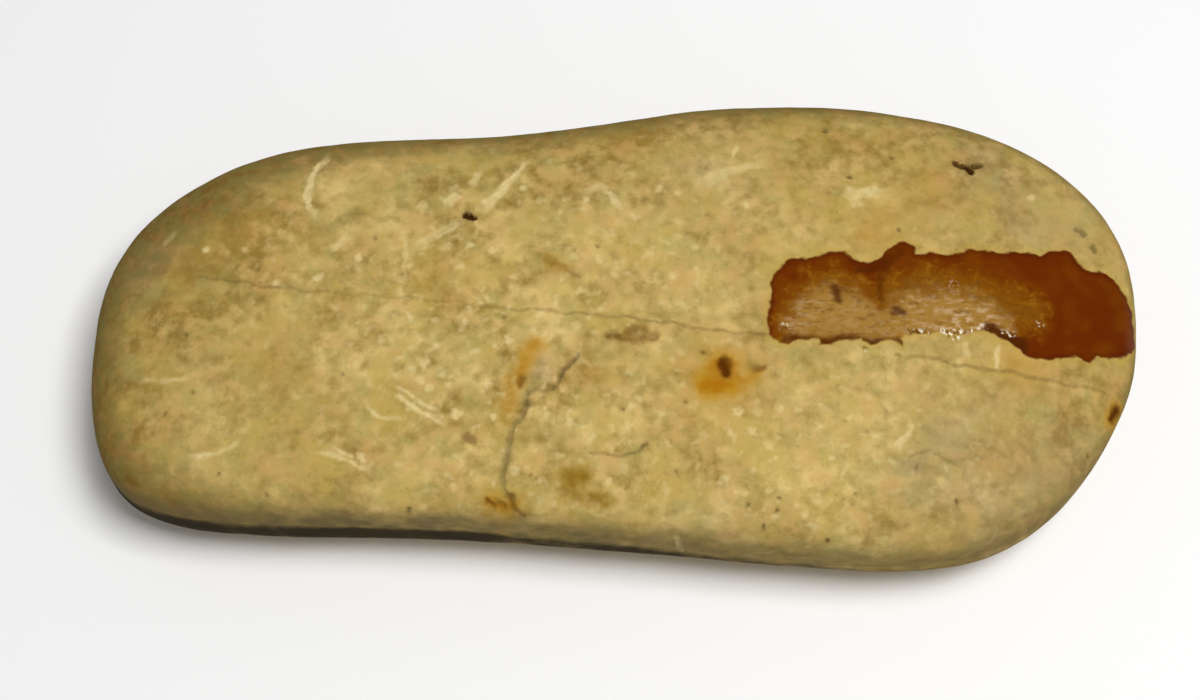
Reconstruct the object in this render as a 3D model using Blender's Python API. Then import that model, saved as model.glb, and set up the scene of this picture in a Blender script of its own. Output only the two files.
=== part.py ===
"""River stone: a flat, water-worn cobble with a sole-shaped outline, resting on a small flat spot.

The stone is one piece. A box of quads is pushed out to a closed outline in plan and a soft
oblong in section, broad lumps and hollows are added, the underside is worn flat where the
stone rests, and the open crack and the larger pits are cut out of it.
The origin is on the surface it rests on, under the middle of the stone. X runs along it.
"""

import math

import bmesh
import bpy
import numpy as np
from mathutils import Matrix, Vector

MM = 0.001

# Driving sizes, in millimetres. The stone is about 194 long, 90 wide and 37.5 high.
HALF_LENGTH = 97.25
HALF_WIDTH = 45.05
WIDEST_LEVEL = 18.5
RISE_TO_TOP = 19.0
DROP_TO_UNDERSIDE = 19.1

# Strips of quads along X, Y and Z.
STRIPS = (48, 22, 11)

# The outline at the widest level, anticlockwise from the blunt end: the X and Y of each point
# of a closed cubic spline, then how full the section is above that level and below it.
# 2 is an ellipse, and a fuller section has a flatter face and a tighter edge.
OUTLINE = (
    (98.0, -1.5, 3.0, 2.8),
    (98.0, 22.0, 3.0, 2.8),
    (71.5, 43.5, 2.9, 2.6),
    (21.0, 47.5, 2.9, 2.6),
    (-22.5, 37.0, 3.0, 2.6),
    (-66.5, 39.0, 3.1, 2.7),
    (-93.5, 20.0, 3.1, 2.8),
    (-98.5, -1.0, 3.3, 2.8),
    (-96.0, -32.5, 3.8, 2.9),
    (-77.5, -39.5, 4.6, 2.9),
    (-21.5, -39.0, 4.6, 2.8),
    (21.0, -43.5, 4.0, 2.7),
    (71.0, -49.0, 3.2, 2.6),
    (95.5, -18.0, 2.9, 2.7),
)
SAMPLES_PER_SPAN = 40

# Broad lumps (raised) and hollows (sunk): X, Y, Z of the middle, reach, and height.
BROAD_FORMS = (
    (-58.0, -8.0, 37.0, 20.0, -0.55),
    (-18.0, 30.0, 35.0, 17.0, -0.70),
    (-14.0, -27.0, 36.0, 11.0, -0.40),
    (-84.0, -33.0, 30.0, 13.0, -0.80),
    (84.0, -28.0, 30.0, 18.0, -0.80),
    (46.0, 34.0, 33.0, 16.0, -0.45),
    (92.0, 14.0, 26.0, 13.0, -0.60),
    (14.0, -4.0, 37.0, 26.0, 0.30),
    (-40.0, -40.0, 14.0, 22.0, -0.80),
    (34.0, -44.0, 12.0, 20.0, -0.70),
    (76.0, -40.0, 16.0, 14.0, 0.60),
    (10.0, 44.0, 12.0, 20.0, -0.70),
    (-66.0, 38.0, 12.0, 16.0, -0.50),
    (60.0, 12.0, 2.0, 24.0, -0.80),
    (-62.0, 10.0, 2.0, 22.0, -0.80),
)

# The open crack across the middle of the top: X and Y along it, then width and depth.
CRACK = (
    (-7.0, -11.0, 0.7, 0.4),
    (-9.5, -14.5, 1.1, 0.8),
    (-11.5, -17.5, 1.3, 1.0),
    (-15.5, -18.0, 1.4, 1.1),
    (-17.0, -21.5, 1.5, 1.2),
    (-18.5, -24.5, 1.3, 1.1),
    (-19.0, -29.5, 1.2, 1.0),
    (-20.0, -33.0, 1.1, 0.8),
    (-17.5, -36.5, 0.9, 0.5),
)
CRACK_CUTTER_HEADROOM = 0.4

# Pits in the top: X, Y, length, width, depth, and turn in degrees.
TOP_PITS = (
    (-27.0, 16.5, 2.4, 1.9, 0.9, -10),
    (63.5, 28.5, 2.2, 1.7, 0.8, -20),
    (66.3, 27.4, 2.8, 1.9, 0.9, 35),
    (-26.0, -26.0, 3.2, 2.4, 0.6, -10),
    (19.0, -13.5, 3.4, 2.0, 0.8, 80),
    (3.5, -6.8, 5.6, 2.2, 0.6, 5),
    (-20.5, -38.2, 3.4, 1.8, 0.8, 5),
    (86.0, 16.0, 1.9, 1.4, 0.6, -40),
    (88.8, 12.2, 2.2, 1.4, 0.6, -70),
    (37.0, -43.0, 1.7, 1.4, 0.6, 0),
    (43.0, 25.0, 1.6, 1.3, 0.5, 60),
    (-37.0, -37.5, 1.6, 1.3, 0.6, 0),
)

# Pits in the underside, in the same terms.
UNDER_PITS = (
    (58.0, -22.0, 3.4, 2.4, 0.9, 30),
    (-48.0, 20.0, 2.8, 2.2, 0.8, -15),
    (-70.0, -12.0, 2.6, 2.0, 0.8, 50),
    (44.0, 28.0, 3.0, 2.0, 0.8, 75),
    (78.0, 6.0, 2.4, 1.8, 0.8, 10),
)

STONE_COLOUR = (0.468, 0.332, 0.117, 1.0)
STONE_ROUGHNESS = 0.62
SHARP_EDGE_DEGREES = 40.0


def clear_scene():
    for thing in list(bpy.data.objects):
        bpy.data.objects.remove(thing)


def outline_table():
    """Return turn angles, reaches, upper and lower fullness round the outline, in turn order."""
    points = np.array(OUTLINE)
    rows = []
    for span in range(len(points)):
        before, here, after, beyond = (points[(span + step) % len(points)] for step in (-1, 0, 1, 2))
        for along in np.arange(SAMPLES_PER_SPAN) / SAMPLES_PER_SPAN:
            weights = (
                (1 - along) ** 3,
                3 * along**3 - 6 * along**2 + 4,
                -3 * along**3 + 3 * along**2 + 3 * along + 1,
                along**3,
            )
            rows.append(sum(w * p for w, p in zip(weights, (before, here, after, beyond))) / 6)
    x, y, upper, lower = np.array(rows).T
    turn = np.arctan2(y / HALF_WIDTH, x / HALF_LENGTH) % math.tau
    reach = np.hypot(x / HALF_LENGTH, y / HALF_WIDTH)
    order = np.argsort(turn)
    return turn[order], reach[order], upper[order], lower[order]


def outline_at(table, x, y):
    """Return the outline's reach and its two fullness values in the direction of x, y."""
    turn = math.atan2(y, x) % math.tau
    return [float(np.interp(turn, table[0], column, period=math.tau)) for column in table[1:]]


def stone_point(table, direction):
    """Return the stone's surface point, in millimetres, that a point of the unit box is pushed to."""
    reach, upper, lower = outline_at(table, direction.x, direction.y)
    out = math.hypot(direction.x, direction.y)
    rising = direction.z > 0
    fullness = upper if rising else lower
    height = RISE_TO_TOP if rising else DROP_TO_UNDERSIDE
    scale = (out**fullness + abs(direction.z) ** fullness) ** (-1 / fullness)
    return Vector((
        HALF_LENGTH * reach * direction.x * scale,
        HALF_WIDTH * reach * direction.y * scale,
        WIDEST_LEVEL + height * direction.z * scale,
    ))


def broad_rise(place):
    """Return how far the lumps and hollows move the surface outwards at a place, in millimetres."""
    total = 0.0
    for x, y, z, reach, height in BROAD_FORMS:
        total += height * math.exp(-(place - Vector((x, y, z))).length_squared / (2 * reach**2))
    return total


def face_height(table, x, y, top):
    """Return the height of the top or the underside over a place in plan, in millimetres."""
    reach, upper, lower = outline_at(table, x / HALF_LENGTH, y / HALF_WIDTH)
    out = math.hypot(x / HALF_LENGTH, y / HALF_WIDTH) / reach
    if top:
        level = WIDEST_LEVEL + RISE_TO_TOP * (1 - out**upper) ** (1 / upper)
        return level + broad_rise(Vector((x, y, level)))
    level = WIDEST_LEVEL - DROP_TO_UNDERSIDE * (1 - out**lower) ** (1 / lower)
    return max(0.0, level - broad_rise(Vector((x, y, level))))


def box_of_quads(bm):
    """Make the unit box and cut it into strips along each of its three directions."""
    bmesh.ops.create_cube(bm, size=2.0)
    for axis, strips in enumerate(STRIPS):
        along = [edge for edge in bm.edges if abs((edge.verts[0].co - edge.verts[1].co)[axis]) > 1]
        bmesh.ops.subdivide_edges(bm, edges=along, cuts=strips - 1, use_grid_fill=True)


def add_broad_forms(bm):
    """Raise the lumps and sink the hollows along the surface's own normals."""
    bm.normal_update()
    moves = [vert.normal * broad_rise(vert.co) for vert in bm.verts]
    for vert, move in zip(bm.verts, moves):
        vert.co += move


def wear_underside_flat(bm):
    """Bring all that lies below the ground up to it, and make that spot one flat face."""
    for vert in bm.verts:
        vert.co.z = max(vert.co.z, 0.0)
    flat = [face for face in bm.faces if all(vert.co.z == 0.0 for vert in face.verts)]
    bmesh.ops.dissolve_faces(bm, faces=flat, use_verts=True)


def stone_material():
    material = bpy.data.materials.new("river_stone")
    material.use_nodes = True
    shader = material.node_tree.nodes["Principled BSDF"]
    shader.inputs["Base Color"].default_value = STONE_COLOUR
    shader.inputs["Roughness"].default_value = STONE_ROUGHNESS
    shader.inputs["Metallic"].default_value = 0.0
    return material


def mesh_object(name, bm):
    """Turn a bmesh in millimetres into an object in metres."""
    bmesh.ops.scale(bm, vec=(MM, MM, MM), verts=bm.verts)
    mesh = bpy.data.meshes.new(name)
    bm.to_mesh(mesh)
    bm.free()
    thing = bpy.data.objects.new(name, mesh)
    bpy.context.scene.collection.objects.link(thing)
    return thing


def stone_body(table):
    """Model the whole stone, without its crack and pits."""
    bm = bmesh.new()
    box_of_quads(bm)
    for vert in bm.verts:
        vert.co = stone_point(table, vert.co)
    add_broad_forms(bm)
    wear_underside_flat(bm)
    stone = mesh_object("river_stone", bm)
    stone.data.materials.append(stone_material())
    stone.data.shade_smooth()
    stone.data.set_sharp_from_angle(angle=math.radians(SHARP_EDGE_DEGREES))
    return stone


def crack_cutter(table):
    """Sweep a wedge, point down, along the crack."""
    bm = bmesh.new()
    rings = []
    for index, (x, y, width, depth) in enumerate(CRACK):
        before = CRACK[max(index - 1, 0)]
        after = CRACK[min(index + 1, len(CRACK) - 1)]
        along = Vector((after[0] - before[0], after[1] - before[1], 0.0)).normalized()
        across = Vector((-along.y, along.x, 0.0))
        level = face_height(table, x, y, top=True)
        spread = width / 2 * (1 + CRACK_CUTTER_HEADROOM / depth)
        middle = Vector((x, y, level + CRACK_CUTTER_HEADROOM))
        corners = (middle + across * spread, middle - across * spread, Vector((x, y, level - depth)))
        rings.append([bm.verts.new(corner) for corner in corners])
    for ring, following in zip(rings, rings[1:]):
        for side in range(3):
            turn = (side + 1) % 3
            bm.faces.new((ring[side], ring[turn], following[turn], following[side]))
    bm.faces.new(rings[0])
    bm.faces.new(reversed(rings[-1]))
    bmesh.ops.recalc_face_normals(bm, faces=bm.faces)
    return mesh_object("crack_cutter", bm)


def pit_cutter(table):
    """Make one flattened ball for each pit, sunk into the stone by the pit's depth."""
    bm = bmesh.new()
    for pits, top in ((TOP_PITS, True), (UNDER_PITS, False)):
        for x, y, length, width, depth, turn in pits:
            place = Matrix.Translation((x, y, face_height(table, x, y, top)))
            spin = Matrix.Rotation(math.radians(turn), 4, "Z")
            size = Matrix.Diagonal((length / 2, width / 2, depth, 1.0))
            bmesh.ops.create_icosphere(bm, subdivisions=1, radius=1.0, matrix=place @ spin @ size)
    return mesh_object("pit_cutter", bm)


def cut_away(stone, cutter):
    """Cut one guide shape out of the stone, and keep the guide out of the result."""
    cutter.hide_render = True
    cutter.display_type = "WIRE"
    cut = stone.modifiers.new(cutter.name, "BOOLEAN")
    cut.operation = "DIFFERENCE"
    cut.solver = "EXACT"
    cut.object = cutter


def main():
    clear_scene()
    table = outline_table()
    stone = stone_body(table)
    cut_away(stone, crack_cutter(table))
    cut_away(stone, pit_cutter(table))


main()
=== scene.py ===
"""Looks of a river stone: a flat, water-worn cobble with a sole-shaped outline.

The stone is one piece on body root. Its form repeats the solid's own sizes, on a fine mesh that is
finest along the marks. The crack, pits, vein and scratches are sunk into that mesh, Geometry Nodes
weather it, and its finish reads object coordinates and the distances to the marks.
"""

import logging
import math
from dataclasses import dataclass
from enum import Enum

import bmesh
import bpy
import numpy as np
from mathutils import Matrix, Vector


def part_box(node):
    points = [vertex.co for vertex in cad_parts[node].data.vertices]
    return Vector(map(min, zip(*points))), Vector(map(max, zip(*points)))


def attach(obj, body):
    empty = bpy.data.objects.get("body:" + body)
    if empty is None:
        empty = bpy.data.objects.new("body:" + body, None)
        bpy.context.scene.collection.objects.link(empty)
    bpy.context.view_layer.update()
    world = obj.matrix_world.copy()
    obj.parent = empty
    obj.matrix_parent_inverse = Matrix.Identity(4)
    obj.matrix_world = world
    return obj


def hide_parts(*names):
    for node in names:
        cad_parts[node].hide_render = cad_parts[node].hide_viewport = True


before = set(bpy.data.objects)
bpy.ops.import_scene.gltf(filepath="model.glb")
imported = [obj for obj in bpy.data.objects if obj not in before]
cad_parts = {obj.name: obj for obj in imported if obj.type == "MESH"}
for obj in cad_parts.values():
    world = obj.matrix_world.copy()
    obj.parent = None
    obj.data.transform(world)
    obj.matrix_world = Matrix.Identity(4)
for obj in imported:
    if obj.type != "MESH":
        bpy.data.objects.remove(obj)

MM = 0.001
MIDDLE = 0.5  # the middle of every noise pattern
TINY = 1e-9  # stands in for a length of 0 where something is divided by it
NODE = "river_stone"
BODY = "root"
OUTWARD = "outward"

Place = tuple[float, float]
Range = tuple[float, float]
Colour = tuple[float, float, float]
log = logging.getLogger("river_stone")


@dataclass(frozen=True)
class Pattern:
    """A noise pattern: its size in millimetres, its number of finer layers and how strong each of them is."""

    size: float
    detail: float = 2.0
    rough: float = 0.5


class Value:
    """A node's output socket that can be used in arithmetic."""

    def __init__(self, bench: "NodeBench", socket: bpy.types.NodeSocket) -> None:
        """Keep the socket and the bench that adds its nodes."""
        self.bench = bench
        self.socket = socket

    def __add__(self, other: "Value | float") -> "Value":
        """Return this value plus another."""
        return self.bench.maths("ADD", self, other)

    def __sub__(self, other: "Value | float") -> "Value":
        """Return this value less another."""
        return self.bench.maths("SUBTRACT", self, other)

    def __rsub__(self, other: float) -> "Value":
        """Return a number less this value."""
        return self.bench.maths("SUBTRACT", other, self)

    def __mul__(self, other: "Value | float") -> "Value":
        """Return this value times another."""
        return self.bench.maths("MULTIPLY", self, other)

    def __truediv__(self, other: "Value | float") -> "Value":
        """Return this value over another."""
        return self.bench.maths("DIVIDE", self, other)

    def __rtruediv__(self, other: float) -> "Value":
        """Return a number over this value."""
        return self.bench.maths("DIVIDE", other, self)

    def swing(self, most: float) -> "Value":
        """Return a noise pattern as a swing either way from 0."""
        return (self - MIDDLE) * most


class NodeBench:
    """Adds nodes to one tree, of a material or of Geometry Nodes."""

    def __init__(self, tree: bpy.types.NodeTree) -> None:
        """Start with an empty tree."""
        self.tree = tree
        tree.nodes.clear()

    def add(self, kind: str, settings: dict | None = None, inputs: dict | None = None) -> bpy.types.Node:
        """Add one node.

        Args:
            kind: The node's type.
            settings: Its own properties, set before its sockets.
            inputs: Values or links, by a socket's identifier, name or number.

        Returns:
            The new node.
        """
        node = self.tree.nodes.new(kind)
        for name, setting in (settings or {}).items():
            setattr(node, name, setting)
        for key, value in (inputs or {}).items():
            socket = self.find(node.inputs, key)
            if isinstance(value, Value):
                self.tree.links.new(value.socket, socket)
            else:
                socket.default_value = value
        return node

    @staticmethod
    def find(sockets: bpy.types.bpy_prop_collection, key: str | int) -> bpy.types.NodeSocket:
        """Return the socket with that number, identifier or name."""
        if isinstance(key, int):
            return sockets[key]
        return next(socket for socket in sockets if key in (socket.identifier, socket.name))

    def read(self, node: bpy.types.Node, key: str | int = 0) -> Value:
        """Return one of a node's outputs as a value."""
        return Value(self, self.find(node.outputs, key))

    def maths(self, operation: str, *terms: "Value | float") -> Value:
        """Add a Math node on values and numbers."""
        node = self.add("ShaderNodeMath", {"operation": operation}, dict(enumerate(terms)))
        return self.read(node)

    def vector(self, operation: str, inputs: dict, output: str = "Vector") -> Value:
        """Add a Vector Math node."""
        return self.read(self.add("ShaderNodeVectorMath", {"operation": operation}, inputs), output)

    def step(self, value: Value, low: float, high: float) -> Value:
        """Add a smooth step.

        Args:
            value: What passes the two levels.
            low: The level where the step starts. It may be the upper one.
            high: The level where it ends.

        Returns:
            0 before the step, 1 past it and a smooth rise between them.
        """
        node = self.add(
            "ShaderNodeMapRange",
            {"interpolation_type": "SMOOTHSTEP"},
            {"Value": value, "From Min": low, "From Max": high},
        )
        return self.read(node, "Result")

    def blend(self, share: Value, first: "Value | Colour", second: "Value | Colour") -> Value:
        """Mix two colours.

        Args:
            share: How much of the second colour shows, from 0 to 1.
            first: The colour at 0.
            second: The colour at 1.

        Returns:
            The mixed colour.
        """
        colours = [c if isinstance(c, Value) else (*c, 1.0) for c in (first, second)]
        node = self.add(
            "ShaderNodeMix",
            {"data_type": "RGBA", "clamp_factor": True},
            {"Factor_Float": share, "A_Color": colours[0], "B_Color": colours[1]},
        )
        return self.read(node, "Result_Color")

    def attribute(self, name: str) -> Value:
        """Return one of the mesh's own numbers."""
        node = self.add("ShaderNodeAttribute", {"attribute_type": "GEOMETRY", "attribute_name": name})
        return self.read(node, "Fac")

    def noise(self, place: Value, pattern: Pattern) -> Value:
        """Add a noise pattern.

        Args:
            place: Coordinates in metres.
            pattern: The pattern's size and layers.

        Returns:
            Values either side of its middle.
        """
        inputs = {
            "Vector": place,
            "Scale": 1 / (pattern.size * MM),
            "Detail": pattern.detail,
            "Roughness": pattern.rough,
        }
        return self.read(self.add("ShaderNodeTexNoise", inputs=inputs), "Fac")

    def dots(self, place: Value, spacing: float, radius: float, share: float) -> Value:
        """Add scattered round dots.

        Args:
            place: Coordinates in metres.
            spacing: The mean spacing of their cells, in millimetres.
            radius: A full dot's radius, in millimetres.
            share: The share of cells with a dot, from 0 to 1.

        Returns:
            1 in the middle of a dot, 0 away from all of them.
        """
        cells = self.add("ShaderNodeTexVoronoi", inputs={"Vector": place, "Scale": 1 / (spacing * MM)})
        # A cell has a dot where its own random grey is above a level that falls as the share grows.
        level = 0.85 - 0.7 * share
        chosen = self.step(self.read(cells, "Color"), level, level + 0.1)
        edge = radius / spacing
        core = 0.4 * radius / spacing
        return self.step(self.read(cells, "Distance"), edge, core) * chosen


class Mark(Enum):
    """The kinds of mark on the stone. The values name the mesh attributes."""

    CRACK = "crack"
    VEIN = "vein"
    SCRATCH = "scratch"
    PIT = "pit"
    SPECK = "speck"
    CHIP = "chip"
    RUST = "rust"
    OCHRE = "ochre"
    OLIVE = "olive"
    # Painted glints on the varnish, which are not marks on the stone.
    GLINT = "glint"
    IRON = "iron"
    DRIP = "drip"

    @property
    def strength_name(self) -> str:
        """The name of the attribute that holds how strong marks of this kind are."""
        return self.value + "_strength"


class Tint(Enum):
    """The soft changes of colour. The values name the mesh attributes."""

    GREY = "tint_grey"
    ORANGE = "tint_orange"
    GREEN = "tint_green"
    PALE = "tint_pale"
    BROWN = "tint_brown"
    FLECKED = "flecked"
    # Painted sheen on the varnish's worn heart.
    SHEEN = "sheen"


class Cover(Enum):
    """What else is stored on the mesh for the finish. The values name the mesh attributes."""

    # Patina and painted shade along the rim.
    RIM_PATINA_AND_SHADE = "rim_patina_and_shade"
    # Painted shade of the steep sides, with a dirt tint.
    WALL = "wall_dirt_and_shade"
    # A painted shadow low on the near side.
    FOOT_SHADOW = "foot_shadow"
    VARNISH = "varnish"
    AMBER = "varnish_amber"
    HEART = "varnish_heart"


@dataclass(frozen=True)
class Stroke:
    """One mark along a path, in millimetres. A path of one place is a round spot.

    Paths on the top are given in plan. Paths on the hidden sides are given in space.
    """

    path: tuple[tuple[float, ...], ...]
    width: float
    end_width: float = 0.0
    strength: float = 1.0
    depth: float = 0.0

    def curve(self) -> np.ndarray:
        """Return the path's places, with more between them along a smooth curve."""
        points = np.array(self.path if len(self.path) > 1 else self.path * 2, float)
        if len(points) < 3:
            return points
        ends = np.vstack((2 * points[0] - points[1], points, 2 * points[-1] - points[-2]))
        along = np.array((0.0, 1 / 3, 2 / 3))[:, None]
        rows = []
        for before, start, finish, after in zip(ends, ends[1:], ends[2:], ends[3:]):
            bend = 2 * before - 5 * start + 4 * finish - after
            twist = 3 * start - before - 3 * finish + after
            rows.append(start + 0.5 * along * (finish - before + along * (bend + along * twist)))
        return np.vstack((*rows, points[-1:]))

    def measure(self, places: np.ndarray) -> tuple[np.ndarray, np.ndarray]:
        """Measure how far places lie inside the mark, and how far along it they are.

        Args:
            places: Rows of coordinates, as many for each place as the path has.

        Returns:
            Half the mark's local width less the distance to its path, and the share of its length.
        """
        start_half = self.width / 2
        end_half = (self.end_width or self.width) / 2
        points = self.curve()
        lengths = np.linalg.norm(points[1:] - points[:-1], axis=1)
        total = max(lengths.sum(), TINY)
        best = np.full(len(places), -np.inf)
        share = np.full(len(places), 0.5)
        gone = 0.0
        for start, finish, length in zip(points, points[1:], lengths):
            run = finish - start
            along = np.clip((places - start) @ run / max(length**2, TINY), 0.0, 1.0)
            distance = np.linalg.norm(places - start - along[:, None] * run, axis=1)
            here = (gone + along * length) / total
            inside = start_half + (end_half - start_half) * here - distance
            better = inside > best
            best[better] = inside[better]
            share[better] = here[better]
            gone += length
        return best, share

    def near(self, places: np.ndarray, margin: float) -> np.ndarray:
        """Return which places are within a margin of the mark's own box."""
        points = np.array(self.path, float)
        reach = max(self.width, self.end_width) / 2 + margin
        low, high = points.min(0) - reach, points.max(0) + reach
        return np.all((places > low) & (places < high), axis=1)


def spots(width: float, strength: float, depth: float, *places: Place) -> tuple[Stroke, ...]:
    """Return round marks of one size at several places."""
    return tuple(Stroke((place,), width, strength=strength, depth=depth) for place in places)


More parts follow.
